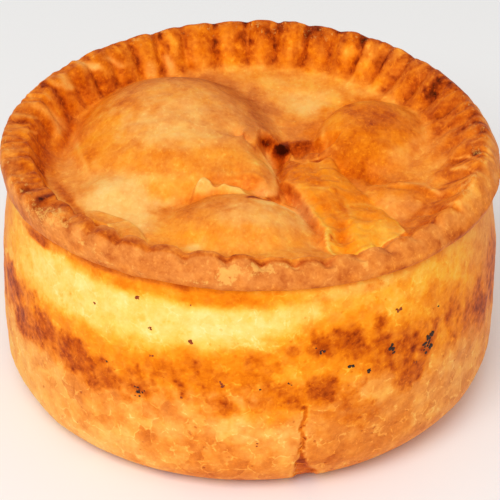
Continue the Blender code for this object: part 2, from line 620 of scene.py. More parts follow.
# Heights of the lid between its domes, as (x, y, height).
LID_STATIONS = (
    (0, 34, 42.6), (16, 31, 42.8), (28, 22, 43.6), (-20, 30, 42.8), (-30, 20, 43.8),
    (-36, 8, 44.2), (-37, -5, 44.8), (-34, -15, 45.6), (-28, -23, 46.2), (-20, -31, 46.8),
    (-10, -36, 47.6), (0, -38, 48.2), (10, -37, 47.6), (18, -34, 45.6), (25, -28, 45),
    (31, -20, 44.8), (35, -10, 45.2), (36, 2, 45.4), (34, 14, 44.6), (5.8, 26.6, 42.4),
    (8, 18, 42.8), (11, 12, 42.9), (5, 8, 42.8), (12, 0, 43.5), (27.5, -17.3, 44.2),
    (8, -12, 43.6), (11, -22, 43.4), (24, -10, 44.4), (-24, -14, 46.4), (-18, -22, 46.2),
    (-8, 10, 44), (-20, 6, 44.5),
)
# The domes that steam raised.
DOMES = (
    Puff(-13.8, 6.5, 29, 21.5, 94, 52.6, 0.72, 32, 0.75),
    Puff(-22, -12, 17, 13, 60, 48, 0.9),
    Puff(-0.8, -8, 11, 6, -62, 48.8, 0.55),
    Puff(-6, -16.5, 9, 5.5, 0, 48.3, 0.6),
    Puff(-2, -29.5, 17, 17, 0, 50.6, 0.75),
    Puff(23.2, 8.5, 15, 11, 84, 49, 0.6),
    Puff(27.5, -14, 10, 6.5, -35, 45.9, 0.7),
)
# Small bulges near the rim, whose tops are heights to add.
BULGES = (
    Puff(-39.5, 22, 3.5, 2, 60, 0.6, 1),
    Puff(-34, 27, 4, 2.5, 45, 0.7, 1),
)
# Ridges that stand up from the lid, and creases that lie below it.
FOLDS = (
    Line((
        (-8.5, -15, 0, 0.8), (-6, -14.1, -0.5, 0.8), (-3, -13.8, -0.8, 0.8), (0, -13.7, -1, 0.8),
        (1.3, -14.4, -1, 0.8), (1, -15.8, -0.6, 0.8),
    )),
    Line((
        (-8.5, -13.2, 0, 0.9), (-6, -12.3, 0.3, 0.9), (-3, -12, 0.4, 0.9), (0, -11.9, 0.4, 0.9),
        (2.2, -12.8, 0.4, 0.9), (3, -15.1, 0.3, 0.9),
    )),
    Line(((-34.5, 6, 0, 1.2), (-33, 2, 1, 1.2), (-30.8, -6, 0.7, 1.2), (-30.5, -9, 0, 1.2))),
    Line((
        (-43.5, 13.2, 0.3, 1.5), (-40, 12.6, 1.1, 1.6), (-38, 11.4, 1.5, 1.7),
        (-37.2, 9, 1.4, 1.6), (-37.4, 6.5, 0.5, 1.4),
    )),
    Line((
        (-36.6, 19, -0.4, 1.1), (-35.4, 14.5, -1, 1.1), (-35.2, 9, -1.2, 1.2),
        (-36.4, 3, -0.8, 1.1), (-36.4, -2, 0, 1),
    )),
    Line(((21.5, -3.5, -0.5, 1), (23.5, -8, -0.9, 1), (26, -10.6, -0.6, 1), (31, -12, 0, 1))),
    Line((
        (23, -9.5, 0.5, 1.1), (27, -9.5, 0.9, 1.1), (31, -10.5, 0.9, 1.1), (35.5, -14.5, 0.6, 1.1),
    )),
    Line(((33, -10, 0.5, 1), (37.5, -3, 0.7, 1), (41, 3, 0.5, 1))),
    Line(((31, -4, 0, 1.1), (35.5, 3, 0.7, 1.1), (39.5, 9.5, 0.5, 1.1))),
    Line(((29, 3, 0, 1.1), (33.5, 9.5, 0.5, 1.1), (37, 15.5, 0.5, 1.1))),
)
# Torn and crumpled layers of crust, in the order in which they lie.
LAYERS = (
    # the scoop between the vent and the flap
    Facets((
        (
            (5.2, -11.4, 44.8, 0.74, 0.2), (5.4, -8, 44.6, 0.76, 0.1), (6, -5, 44.4, 0.78, 0.1),
            (7, -2.2, 44, 0.82, 0),
        ),
        (
            (7.2, -12.2, 45.8, 0.66, 0.3), (7.8, -8.6, 45.8, 0.68, 0.2),
            (8.6, -5.6, 45.8, 0.68, 0.1), (9.6, -3, 45.4, 0.72, 0.1),
        ),
    ), drop=1.6, ragged=0.3, crumple=0.3),
    # the crumpled flap on the right of the tear, its net darker in the troughs and paler on the
    # ridges: crust colour with painted shade and painted highlights
    Facets((
        (
            (6, -10.6, 45.8, 0.66, 0.3), (6.9, -6.6, 46, 0.69, 0.1), (8.8, -3.9, 46.4, 0.66, 0.1),
            (12.6, -1.9, 46.9, 0.58, 0.2), (14.6, 0.2, 46.8, 0.62, 0.1),
        ),
        (
            (8.2, -13, 46.5, 0.52, 0.3), (9.8, -9.6, 46.9, 0.64, 0), (11.6, -7.8, 46.9, 0.68, 0),
            (14, -6, 47, 0.63, 0), (16.1, -5.2, 46.2, 0.64, 0),
        ),
        (
            (9.5, -16.6, 46.6, 0.48, 0.3), (10.9, -14, 47.6, 0.54, 0.1),
            (13.1, -13.5, 47.7, 0.58, 0.1), (15.8, -13.8, 47.2, 0.6, 0),
            (19.2, -11.3, 45.8, 0.6, 0),
        ),
        (
            (10.5, -19.8, 46.6, 0.44, 0.4), (12.1, -18.3, 46.8, 0.6, 0.1),
            (14, -18.6, 46.9, 0.62, 0), (16.7, -18.3, 46.5, 0.6, 0), (22.5, -16.3, 45.4, 0.62, 0),
        ),
        (
            (11.6, -23.1, 47, 0.44, 0.2), (13.3, -22.8, 46.6, 0.58, 0),
            (15.2, -22.1, 46.4, 0.64, 0), (17.7, -20.5, 47.4, 0.5, 0), (23.8, -20.1, 46.3, 0.6, 0),
        ),
        (
            (13, -26.4, 47.6, 0.36, 0.2), (14.6, -27.5, 46.9, 0.5, 0),
            (16.1, -27.1, 46.2, 0.66, 0), (18.4, -25.9, 47.6, 0.47, 0),
            (26.6, -23.6, 47.2, 0.52, 0),
        ),
        (
            (13.2, -30.3, 47.9, 0.32, 0.2), (14.7, -31.8, 46.9, 0.48, 0),
            (16.3, -32.1, 46.2, 0.64, 0), (19.2, -31.4, 47.5, 0.46, 0),
            (27.7, -27.9, 47.5, 0.42, 0.2),
        ),
        (
            (13.6, -33.6, 47.8, 0.33, 0.2), (15.1, -34.8, 46.8, 0.46, 0),
            (16.7, -35.1, 46.3, 0.6, 0), (19.7, -35.1, 47.3, 0.47, 0),
            (25.3, -31.7, 47.2, 0.42, 0.2),
        ),
        (
            (14.3, -36.8, 47.2, 0.36, 0.2), (15.8, -37.2, 46.4, 0.46, 0),
            (17.3, -37.2, 46.2, 0.56, 0), (18.5, -37.2, 46.4, 0.48, 0),
            (21.9, -35.1, 46.6, 0.46, 0.1),
        ),
    ), drop=2, ragged=0.3, crumple=1),
    # the first flake at the front left
    Facets((
        net_row(
            0.46, 0.6, (-30.4, -22, 46.9), (-27.9, -21.9, 47.1), (-25.3, -23.5, 47.1),
            (-22.3, -25.2, 47.2),
        ),
        net_row(
            0.54, 0.5, (-30.1, -23.1, 47.2), (-27.8, -24.1, 47.3), (-25.5, -25.4, 47.3),
            (-23.3, -25.9, 47.3),
        ),
        net_row(
            0.62, 0.3, (-29.7, -24.7, 47.9), (-27.7, -26.3, 47.9), (-26, -27.6, 47.9),
            (-24.3, -28.4, 47.9),
        ),
    ), ragged=0.15),
    # the second flake, which lies over its end
    Facets((
        net_row(
            0.44, 0.6, (-26.1, -26.8, 47.8), (-24.2, -25.8, 47.8), (-22.2, -25.2, 47.8),
            (-20.4, -27.8, 47.7), (-19, -31.5, 47.7),
        ),
        net_row(
            0.52, 0.4, (-25.3, -28.6, 48), (-23.4, -28.1, 48), (-21.8, -28.3, 48),
            (-20.5, -30.2, 48), (-19.2, -33, 48),
        ),
        net_row(
            0.6, 0.3, (-24.4, -30.7, 48.5), (-23, -31.8, 48.5), (-21.6, -33.1, 48.5),
            (-20.3, -34.1, 48.5), (-18.9, -35.1, 48.5),
        ),
    ), ragged=0.15),
    # the pale torn edge between the domes
    Facets((
        net_row(
            0.3, 0.6, (-10.2, -12.9, 49.1), (-9.5, -10.5, 49.2), (-8.6, -10, 49.2),
            (-7.7, -11.4, 49.2), (-7.1, -13.3, 49.2), (-6.4, -13.7, 49.2), (-5.1, -12.3, 49.2),
            (-3.9, -13.1, 49.2), (-2, -13.9, 49.2), (-0.5, -16.4, 49.1), (0.1, -17.7, 49),
        ),
        net_row(
            0.46, 0.6, (-10.4, -15.7, 48.6), (-9.6, -16, 48.6), (-8.4, -15.7, 48.6),
            (-7.6, -15.1, 48.6), (-6.9, -14.8, 48.6), (-6.1, -14.8, 48.6), (-5.1, -15.1, 48.6),
            (-3.9, -15.6, 48.6), (-2.2, -16.7, 48.6), (-0.7, -17.5, 48.6), (0, -18.1, 48.6),
        ),
    ), ragged=0.1),
)
# Where the lid tore open.
OPENINGS = (
    # the vent and the tear from it down to the hollow beside the front dome
    Opening(
        outline=(
            (1.4, 6.4), (2.8, 7.2), (4, 6.2), (5.2, 5.8), (7.4, 6.9), (7.7, 5.2), (7.2, 2),
            (7.6, -2.5), (7, -6), (8.4, -9), (10.8, -12.5), (12.6, -18), (14, -23), (15, -30),
            (16, -37), (14.6, -38), (13.2, -32), (11.6, -28), (8.9, -24.9), (4.6, -22.8),
            (0.4, -21.2), (-1.6, -19.2), (0.4, -17.6), (3, -17.2), (4.9, -15.2), (5.1, -11),
            (4.8, -6), (3.8, -3.4), (2.3, -1.2), (1.3, 1.8), (0.9, 4.4),
        ),
        floor=(
            (2.6, 7, 40.5), (5.8, 5.8, 38.5), (5.6, 0, 42.2), (6, -6, 44), (6.6, -11, 44.4),
            (3, -19, 41.8), (8.5, -16, 44.8), (11.5, -22, 45), (14, -32, 45),
        ),
        steepness=3,
        ragged=0.4,
    ),
    # the hollow under the edge of the right dome
    Opening(
        outline=(
            (6.8, 7.6), (10.5, 8.4), (14.5, 7.8), (17.2, 5.6), (15.5, 3.6), (12, 3.4), (8.5, 2.6),
        ),
        floor=((8.5, 6.6, 41.2), (12, 6.6, 42), (15.5, 5.8, 42.8), (12, 3.8, 44)),
        steepness=2.6,
        ragged=0.25,
    ),
)


@dataclass
class DoughForm:
    """The form that all pieces share: the raised wall, the pinched rim and the puffed lid.

    Its sides, turns and crimp shifts are in degrees.
    """

    wall_radius: float = 47.4
    wall_belly: float = 0.8
    corner_radius: float = 10.4
    neck_radius: float = 45.8
    neck_height: float = 42.6
    rim_radius: float = 47.0
    lip_height: float = 46.0
    crest_radius: float = 45.0
    crest_height: float = 50.2
    foot_radius: float = 35.4
    flat_width: float = 4.6
    flat_side: float = 195.0
    front_sink: float = 1.8
    slope_sink: float = 8.0
    wrinkle_height: float = 0.34
    lid_level: float = 42.6
    blend: float = 0.9
    crimps: int = 45
    wall_waves: tuple = ((2, -0.002, 0.003), (3, -0.007, -0.003))
    rim_waves: tuple = ((2, 0.002, 0.002), (3, 0.002, -0.004))
    height_waves: tuple = ((1, 0.006, 0.003), (2, -0.011, 0.010))
    corner_waves: tuple = ((1, 0.20, 0.15),)
    crest_shift: tuple = (-1.6, 1.0)
    crimp_shifts: tuple = (
        (40, 2.0), (48, 1.2), (56, 0.7), (64, 0.9), (72, 1.3), (80, 1.3), (88, 1.3), (96, 2.2),
        (104, 2.9), (135, 1.0), (180, -0.8), (225, 0.8), (248, 0.1), (256, 1.2), (264, 2.5),
        (272, 2.3), (280, 1.6), (288, 1.1), (296, 1.3), (330, -1.0), (360, 1.5),
    )
    stations: tuple[tuple[float, float, float], ...] = LID_STATIONS
    puffs: tuple[Puff, ...] = DOMES
    folds: tuple[Line, ...] = FOLDS
    layers: tuple[Facets, ...] = LAYERS
    bulges: tuple[Puff, ...] = BULGES
    openings: tuple[Opening, ...] = OPENINGS
    grain: Grain = field(default_factory=lambda: Grain(11))

    def __post_init__(self) -> None:
        """Works out how the form is shifted and scaled to fill the frame's box."""
        self.drape = Drape(self.stations)
        low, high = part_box(NODE)
        angle = np.linspace(0, 2 * math.pi, 1440, endpoint=False)
        sides = []
        for radius, height in ((self.rim_radius, self.lip_height), (self.wall_radius, 12.0)):
            heights = np.full_like(angle, height)
            sides.append(self.case_point(np.full_like(angle, radius), heights, angle))
        ends = np.concatenate(sides)
        spans = ends.max(0) - ends.min(0)
        middle = (ends.max(0) + ends.min(0)) / 2
        heights = np.full_like(angle, self.crest_height)
        crest = self.crest_height * self.height_factor(angle, heights)
        self.scale = np.array([
            (high.x - low.x) / spans[0],
            (high.y - low.y) / spans[1],
            (high.z - low.z) / crest.max(),
        ])
        self.shift = np.array([-middle[0], -middle[1], 0.0])
        self.middle = np.array([(low.x + high.x) / 2, (low.y + high.y) / 2, low.z])

    def place(self, points: Array) -> Array:
        """Puts points of the form, in millimetres, into the frame, in metres."""
        return (points + self.shift) * self.scale + self.middle

    @staticmethod
    def out_of_round(angle: Array, waves: tuple) -> Array:
        """Gives how much wider than a true circle a ring is.

        Args:
            angle: Angles round the pie.
            waves: Each as (waves round the pie, cosine share, sine share).

        Returns:
            The factors, about 1.
        """
        total = np.ones_like(angle)
        for n, c, s in waves:
            total += c * np.cos(n * angle) + s * np.sin(n * angle)
        return total

    def height_factor(self, angle: Array, height: Array) -> Array:
        """Gives how the pie's height varies round it, fully at the crest and not at the base."""
        share = np.minimum(height / self.crest_height, 1.0)
        return 1 + (self.out_of_round(angle, self.height_waves) - 1) * share

    def warped(self, angle: Array) -> Array:
        """Gives the uneven angles at which evenly spaced crimps really sit, in radians."""
        even, shift = np.array(self.crimp_shifts, float).T
        return angle + np.radians(np.interp(np.degrees(angle), even, shift, period=360))

    def groove(self, angle: Array) -> Array:
        """Gives how deep in the groove between two crimps an even angle is.

        Args:
            angle: Even angles.

        Returns:
            1 in a groove, 0 on a crimp's back.
        """
        pitches = self.crimps * angle / (2 * math.pi)
        away = np.abs(pitches - np.round(pitches))
        return 0.6 * np.exp(-((away / 0.14) ** 2)) + 0.2 * (1 + np.cos(2 * math.pi * away))

    @staticmethod
    def towards(angle: Array, side: float, power: float) -> Array:
        """Gives how much an angle faces a side in degrees: 1 at that side, 0 opposite it."""
        return (0.5 + 0.5 * np.cos(angle - math.radians(side))) ** power

    def case_point(self, radius: Array, height: Array, angle: Array) -> Array:
        """Works points of the wall, the base and the rim's outer side.

        Args:
            radius: Radii of the turned shape.
            height: Heights of the turned shape.
            angle: Uneven angles.

        Returns:
            Points.
        """
        on_rim = np.clip((height - self.neck_height) / (self.lip_height - self.neck_height), 0, 1)
        wall = self.out_of_round(angle, self.wall_waves)
        rim = self.out_of_round(angle, self.rim_waves)
        reach = radius * (wall * (1 - on_rim) + rim * on_rim)
        low = height < self.corner_radius
        fullness = self.out_of_round(angle, self.corner_waves) - 1
        reach = np.where(low, reach - fullness * (self.wall_radius - radius), reach)
        height = np.where(low, height * (1 + fullness * (1 - height / self.corner_radius)), height)
        up = np.clip((height - self.lip_height) / (self.crest_height - self.lip_height), 0, 1)
        x = reach * np.cos(angle) + self.crest_shift[0] * up
        y = reach * np.sin(angle) + self.crest_shift[1] * up
        return np.stack([x, y, height * self.height_factor(angle, height)], 1)

    def wall_share(self, height: float) -> float:
        """Gives how far up the wall a height is: 0 above the corner and 1 at the neck."""
        return (height - self.corner_radius) / (self.neck_height - self.corner_radius)

    def wall_reach(self, share: float) -> float:
        """Gives the wall's radius, with its belly, at a share of its height."""
        radius = self.wall_radius + (self.neck_radius - self.wall_radius) * share
        return radius + self.wall_belly * 4 * share * (1 - share)

    def fold_rise(self, x: Array, y: Array) -> Array:
        """Gives how much the lid's folds and bulges raise or sink the surface.

        Args:
            x: Places to the right.
            y: Places to the back.

        Returns:
            Heights to add.
        """
        total = np.zeros(len(x))
        for fold in self.folds:
            total += fold.rise(x, y)
        for bulge in self.bulges:
            total += bulge.top * np.exp(-2.0 * bulge.distance(x, y) ** 2)
        return total

    def lid_height(self, x: Array, y: Array) -> Array:
        """Gives the height of the lid's surface.

        Args:
            x: Places to the right.
            y: Places to the back.

        Returns:
            The heights.
        """
        flat = np.stack([x, y, np.zeros_like(x)], 1)
        height = self.drape.at(x, y) + 0.25 * self.grain.layered(flat, 13.0, 2)
        for puff in self.puffs:
            height = smooth_max(height, puff.height(x, y, self.lid_level), self.blend)
        height = height + 0.30 * self.grain.layered(flat + 40, 8.0, 3)
        height = height + 0.07 * self.grain.layered(flat + 90, 1.8, 2)
        height = height + self.fold_rise(x, y)
        fray = self.grain.layered(flat + 20, 1.9, 2)
        for opening in self.openings:
            height = opening.cut(x, y, height, fray)
        crease = 0.25 - np.abs(self.grain.layered(flat + 60, 7.0, 3))
        for layer in self.layers:
            height = layer.cover(x, y, height, fray, crease)
        return height

    def slope_height(self, radius: Array, angle: Array) -> Array:
        """Gives the height of the rim's inner side: a flat top, then a half wave down to the lid.

        Args:
            radius: Radii of the turned shape.
            angle: Uneven angles.

        Returns:
            The heights.
        """
        edge = self.crest_radius - self.flat_width * self.towards(angle, self.flat_side, 4)
        foot = self.foot_radius - 3.0 * self.towards(angle, 0, 3)
        share = np.clip((edge - radius) / (edge - foot), 0, 1)
        crest = self.crest_height - self.crest_sink(angle)
        rolled = 0.5 + 0.5 * np.cos(math.pi * share)
        steep = self.towards(angle, -95, 2)
        rise = rolled + steep * ((1 - share) ** 2.4 - rolled)
        return self.lid_level + (crest - self.lid_level) * rise

    def rim_share(self, radius: Array) -> Array:
        """Gives the place across the rim: 0 at its foot and 1 on its crest."""
        return (radius - self.foot_radius) / (self.crest_radius - self.foot_radius)

    def crest_sink(self, angle: Array) -> Array:
        """Gives how far the crest sags at the front right, in millimetres."""
        degrees = (np.degrees(angle) + 180) % 360 - 180
        return self.front_sink * ease(-98, -66, degrees) * (1 - ease(-62, -18, degrees))

    def crest_depth(self, angle: Array) -> Array:
        """Gives how deep the grooves between crimps cut the crest, in millimetres."""
        return 0.1 + 1.25 * self.towards(angle, -88, 4) + 0.35 * self.towards(angle, 80, 3)

    def wrinkles(self, points: Array, angle: Array) -> Array:
        """Gives the fine pinched wrinkles that cross the rim's top at the left and right.

        Args:
            points: Points in millimetres, which break the wrinkles up.
            angle: Even angles.

        Returns:
            The wrinkles' profile, from -1 to 1.
        """
        round_rim = np.degrees(angle) * RIM_ARC
        wander = 1.5 * self.grain.at(points, 6.0) + 0.5 * self.grain.at(points + 9, 2.0)
        across = 0.22 * np.hypot(points[:, 0], points[:, 1])
        lines = np.stack([round_rim + wander, across, np.zeros_like(angle)], 1)
        ridge = 1 - 2 * np.abs(self.grain.at(lines @ self.grain.turn.T, 2.1))
        fine = self.grain.at(lines @ self.grain.turn.T + 40, 0.9)
        return 0.75 * ridge + 0.25 * fine

    def wrinkle_depth(self, angle: Array) -> Array:
        """Gives how deep the wrinkles are round the pie, in millimetres."""
        sides = self.towards(angle, 190, 3) + 0.8 * self.towards(angle, 5, 3)
        return self.wrinkle_height * np.clip(sides * 1.3, 0.15, 1.0)

    def top_point(self, radius: Array, angle: Array) -> tuple[Array, Array]:
        """Works points of the lid and of the rim's inner side, out to the crest.

        Args:
            radius: Radii of the turned shape.
            angle: Even angles.

        Returns:
            Points in millimetres, and how much of each the lid makes up rather than the rim.
        """
        even = angle
        angle = self.warped(angle)
        share = np.clip(self.rim_share(radius), 0, 1)
        front = self.towards(angle, -95, 3)
        back = self.towards(angle, 80, 2)
        right = self.towards(angle, 5, 3)
        left = self.towards(angle, 190, 2)
        groove = self.groove(even)
        slope_depth = 0.9 * back + 0.9 * front + 0.35 * right + 0.1
        reach = radius * self.out_of_round(angle, self.rim_waves)
        reach = reach + slope_depth * np.sin(math.pi * share) * groove
        x = reach * np.cos(angle) + self.crest_shift[0]
        y = reach * np.sin(angle) + self.crest_shift[1]
        slope = self.slope_height(radius, angle)
        cut = self.crest_depth(angle) * share**0.7 + 0.5 * back * np.sin(math.pi * share)
        slope = slope - cut * groove
        points = np.stack([x, y, slope], 1)
        wrinkled = self.wrinkle_depth(angle) * self.wrinkles(points, even)
        slope = slope + wrinkled * ease(0.3, 0.8, share)
        slope = slope + 0.22 * self.grain.layered(points, 4.5, 3) * ease(0.0, 0.4, share)
        slope = slope + self.fold_rise(x, y)
        slope = slope - self.slope_sink * ease(4.5, 12.0, self.foot_radius - radius)
        lid = self.lid_height(x, y)
        z = smooth_max(slope, lid, self.blend + 3.2 * right + 2.0 * left)
        z = z * self.height_factor(angle, z)
        return np.stack([x, y, z], 1), ease(-0.7, 0.5, lid - slope)

    def shoulder_point(self, radius: Array, height: Array, angle: Array) -> Array:
        """Works points of the rim's outer side, from the crest down to the lip.

        Args:
            radius: Radii of the turned shape.
            height: Heights of the turned shape.
            angle: Even angles.

        Returns:
            Points.
        """
        even = angle
        angle = self.warped(angle)
        up = np.clip((height - self.lip_height) / (self.crest_height - self.lip_height), 0, 1)
        points = self.case_point(radius, height, angle)
        points[:, 2] -= self.crest_sink(angle) * up
        points[:, 2] -= self.crest_depth(angle) * ease(0.55, 1.0, up) * self.groove(even)
        start = np.stack([points[:, 0], points[:, 1], self.slope_height(radius, angle)], 1)
        points[:, 2] += self.wrinkle_depth(angle) * self.wrinkles(start, even) * ease(0.2, 1.0, up)
        outward = np.stack([np.cos(angle), np.sin(angle)], 1)
        swell = 0.22 * self.grain.layered(start, 4.5, 3)
        points[:, 2] += swell * ease(0.2, 1.0, up)
        points[:, :2] += outward * (swell * (1 - ease(0.3, 1.0, up)))[:, None]
        return points

    def wall_point(self, radius: Array, height: Array, angle: Array) -> Array:
        """Works points of the wall with its lumps, and of the base.

        Args:
            radius: Radii of the turned shape.
            height: Heights of the turned shape.
            angle: Even angles.

        Returns:
            Points.
        """
        angle = self.warped(angle)
        points = self.case_point(radius, height, angle)
        lumps = 0.22 * self.grain.layered(points, 10.0, 2)
        lumps = lumps + 0.10 * self.grain.layered(points + 50, 3.2, 3)
        share = ease(0.0, 6.0, height) * (1 - 0.6 * ease(30.0, 40.0, height))
        outward = np.stack([np.cos(angle), np.sin(angle)], 1)
        points[:, :2] += outward * (lumps * share)[:, None]
        return points


def turned_mesh(
    name: str, rings: int, steps: int, closed: bool, shape: Callable
) -> bpy.types.Object:
    """Rolls a flat sheet of quads round the Z axis and works each point of it.

    Args:
        name: The name of the new object.
        rings: How many rings of points there are.
        steps: How many steps a full turn has.
        closed: Whether the last ring joins the first; otherwise both close on the axis.
        shape: Takes ring numbers and angles, and returns points in metres, values by tone and
            which rings are sharp.

    Returns:
        The new object, linked into the scene.
    """
    rows = rings if closed else rings - 1
    dough = bmesh.new()
    bmesh.ops.create_grid(dough, x_segments=steps, y_segments=rows, size=0.5)
    mesh = bpy.data.meshes.new(name)
    dough.to_mesh(mesh)
    dough.free()
    flat = np.empty(len(mesh.vertices) * 3)
    mesh.vertices.foreach_get("co", flat)
    flat = flat.reshape(-1, 3) + 0.5
    ring = np.rint(flat[:, 1] * rows).astype(int) % rings
    turn = np.rint(flat[:, 0] * steps).astype(int) % steps
    points, tones, sharp = shape(ring, turn * 2 * math.pi / steps - math.pi)
    mesh.vertices.foreach_set("co", points.astype(np.float32).ravel())
    for tone, values in tones.items():
        layer = mesh.attributes.new(tone.value, "FLOAT", "POINT")
        layer.data.foreach_set("value", values.astype(np.float32))
    layer = mesh.attributes.new("ring", "INT", "POINT")
    layer.data.foreach_set("value", ring.astype(np.int32))
    mesh.update()
    dough = bmesh.new()
    dough.from_mesh(mesh)
    number = dough.verts.layers.int["ring"]
    for edge in dough.edges:
        first, last = edge.verts[0][number], edge.verts[1][number]
        if first == last and first in sharp:
            edge.smooth = False
    bmesh.ops.remove_doubles(dough, verts=dough.verts[:], dist=1e-7)
    bmesh.ops.recalc_face_normals(dough, faces=dough.faces[:])
    dough.to_mesh(mesh)
    dough.free()
    mesh.attributes.remove(mesh.attributes["ring"])
    mesh.shade_smooth()
    mesh.update()
    piece = bpy.data.objects.new(name, mesh)
    bpy.context.scene.collection.objects.link(piece)
    return piece


class Nodes:
    """Builds one node tree with few words."""

    def __init__(self, name: str, stretch: float = 1.0) -> None:
        """Starts an empty material.

        Args:
            name: The material's name.
            stretch: How much longer its patterns run to the back than to the right.
        """
        self.material = bpy.data.materials.new(name)
        self.material.use_nodes = True
        self.tree = self.material.node_tree
        self.tree.nodes.clear()
        shrink = self.tree.nodes.new("ShaderNodeVectorMath")
        shrink.operation = "MULTIPLY"
        place = self.tree.nodes.new("ShaderNodeTexCoord").outputs["Object"]
        self.tree.links.new(place, shrink.inputs[0])
        shrink.inputs[1].default_value = (1.0, 1.0 / stretch, 1.0)
        self.place = shrink.outputs[0]

    def link(self, source: object, target: object) -> None:
        """Sets a socket.

        Args:
            source: Another socket or a plain value.
            target: The socket that takes it.
        """
        if isinstance(source, bpy.types.NodeSocket):
            self.tree.links.new(source, target)
        else:
            target.default_value = source

    def math(
        self, operation: str, a: object, b: object = 0.0, c: object = 0.0, clamp: bool = False
    ) -> object:
        """Adds a Math node.

        Args:
            operation: The Math node's operation.
            a: The first value or socket.
            b: The second value or socket.
            c: The third, which only some operations use.
            clamp: Whether the result stays in 0 to 1.

        Returns:
            The output socket.
        """
        node = self.tree.nodes.new("ShaderNodeMath")
        node.operation = operation
        node.use_clamp = clamp
        self.link(a, node.inputs[0])
        self.link(b, node.inputs[1])
        self.link(c, node.inputs[2])
        return node.outputs[0]

    def noise(
        self, size: float, detail: float = 3.0, roughness: float = 0.55, vector: object = None
    ) -> object:
        """Adds a noise texture with lumps of a size in millimetres.

        Args:
            size: The size of the lumps.
            detail: How many finer layers there are.
            roughness: How strong the finer layers are.
            vector: The coordinates, the object's own if left out.

        Returns:
            The output socket, 0 to 1.
        """
        node = self.tree.nodes.new("ShaderNodeTexNoise")
        self.link(vector or self.place, node.inputs["Vector"])
        node.inputs["Scale"].default_value = 1 / (size * MM)
        node.inputs["Detail"].default_value = detail
        node.inputs["Roughness"].default_value = roughness
        return node.outputs["Fac"]

    def cells(self, size: float, feature: str, vector: object = None) -> object:
        """Adds a cell texture and returns its distance.

        Args:
            size: The size of the cells.
            feature: The cell texture's feature.
            vector: The coordinates, the object's own if left out.

        Returns:
            The distance socket.
        """
        node = self.tree.nodes.new("ShaderNodeTexVoronoi")
        node.feature = feature
        self.link(vector or self.place, node.inputs["Vector"])
        node.inputs["Scale"].default_value = 1 / (size * MM)
        return node.outputs["Distance"]

    def warped(self, size: float, amount: float) -> object:
        """Gives the object's coordinates, pushed about by noise.

        Args:
            size: The size of the pushes.
            amount: How far they push.

        Returns:
            The vector socket.
        """
        noise = self.tree.nodes.new("ShaderNodeTexNoise")
        self.link(self.place, noise.inputs["Vector"])
        noise.inputs["Scale"].default_value = 1 / (size * MM)
        push = self.tree.nodes.new("ShaderNodeVectorMath")
        push.operation = "MULTIPLY_ADD"
        self.link(noise.outputs["Color"], push.inputs[0])
        push.inputs[1].default_value = (2 * amount * MM,) * 3
        self.link(self.place, push.inputs[2])
        return push.outputs[0]

    def tone(self, tone: Tone) -> object:
        """Reads one of the values that the mesh carries.

        Args:
            tone: Which of them.

        Returns:
            The output socket.
        """
        node = self.tree.nodes.new("ShaderNodeAttribute")
        node.attribute_name = tone.value
        return node.outputs["Fac"]

    def step(self, value: object, low: float, high: float) -> object:
        """Adds a smooth step from 0 at low to 1 at high.

        Args:
            value: The value to look up.
            low: Where the rise starts.
            high: Where it ends.

        Returns:
            The output socket.
        """
        node = self.tree.nodes.new("ShaderNodeMapRange")
        node.interpolation_type = "SMOOTHSTEP"
        self.link(value, node.inputs["Value"])
        node.inputs["From Min"].default_value = low
        node.inputs["From Max"].default_value = high
        return node.outputs["Result"]

    def ramp(self, value: object, stops: tuple) -> object:
        """Adds a colour ramp.

        Args:
            value: The value to look up.
            stops: Each as (place, (red, green, blue)) with display colours.

        Returns:
            The colour socket.
        """
        node = self.tree.nodes.new("ShaderNodeValToRGB")
        self.link(value, node.inputs["Fac"])
        ramp = node.color_ramp
        ramp.elements[0].position = stops[0][0]
        ramp.elements[0].color = linear(*stops[0][1])
        ramp.elements[1].position = stops[-1][0]
        ramp.elements[1].color = linear(*stops[-1][1])
        for place, colour in stops[1:-1]:
            ramp.elements.new(place).color = linear(*colour)
        return node.outputs["Color"]

    def mix(self, share: object, a: object, b: object) -> object:
        """Mixes two colours.

        Args:
            share: How much of the second there is.
            a: The first colour or socket.
            b: The second colour or socket.

        Returns:
            The colour socket.
        """
        node = self.tree.nodes.new("ShaderNodeMix")
        node.data_type = "RGBA"
        self.link(share, node.inputs[0])
        self.link(a, node.inputs[6])
        self.link(b, node.inputs[7])
        return node.outputs[2]

    def bump(self, height: object, strength: float, depth: float, normal: object = None) -> object:
        """Adds a bump.

        Args:
            height: The height socket, 0 to 1.
            strength: How strong the bump is.
            depth: How deep it is.
            normal: The normal that it adds to, if any.

        Returns:
            The normal socket.
        """
        node = self.tree.nodes.new("ShaderNodeBump")
        node.inputs["Strength"].default_value = strength
        node.inputs["Distance"].default_value = depth * MM
        self.link(height, node.inputs["Height"])
        if normal is not None:
            self.link(normal, node.inputs["Normal"])
        return node.outputs["Normal"]

    def surface(self, **sockets: object) -> bpy.types.Material:
        """Ends the tree in one shader.

        Args:
            sockets: Values or sockets by the shader's input names, with _ for a space.

        Returns:
            The finished material.
        """
        shader = self.tree.nodes.new("ShaderNodeBsdfPrincipled")
        for name, value in sockets.items():
            self.link(value, shader.inputs[name.replace("_", " ")])
        output = self.tree.nodes.new("ShaderNodeOutputMaterial")
        self.tree.links.new(shader.outputs[0], output.inputs["Surface"])
        return self.material


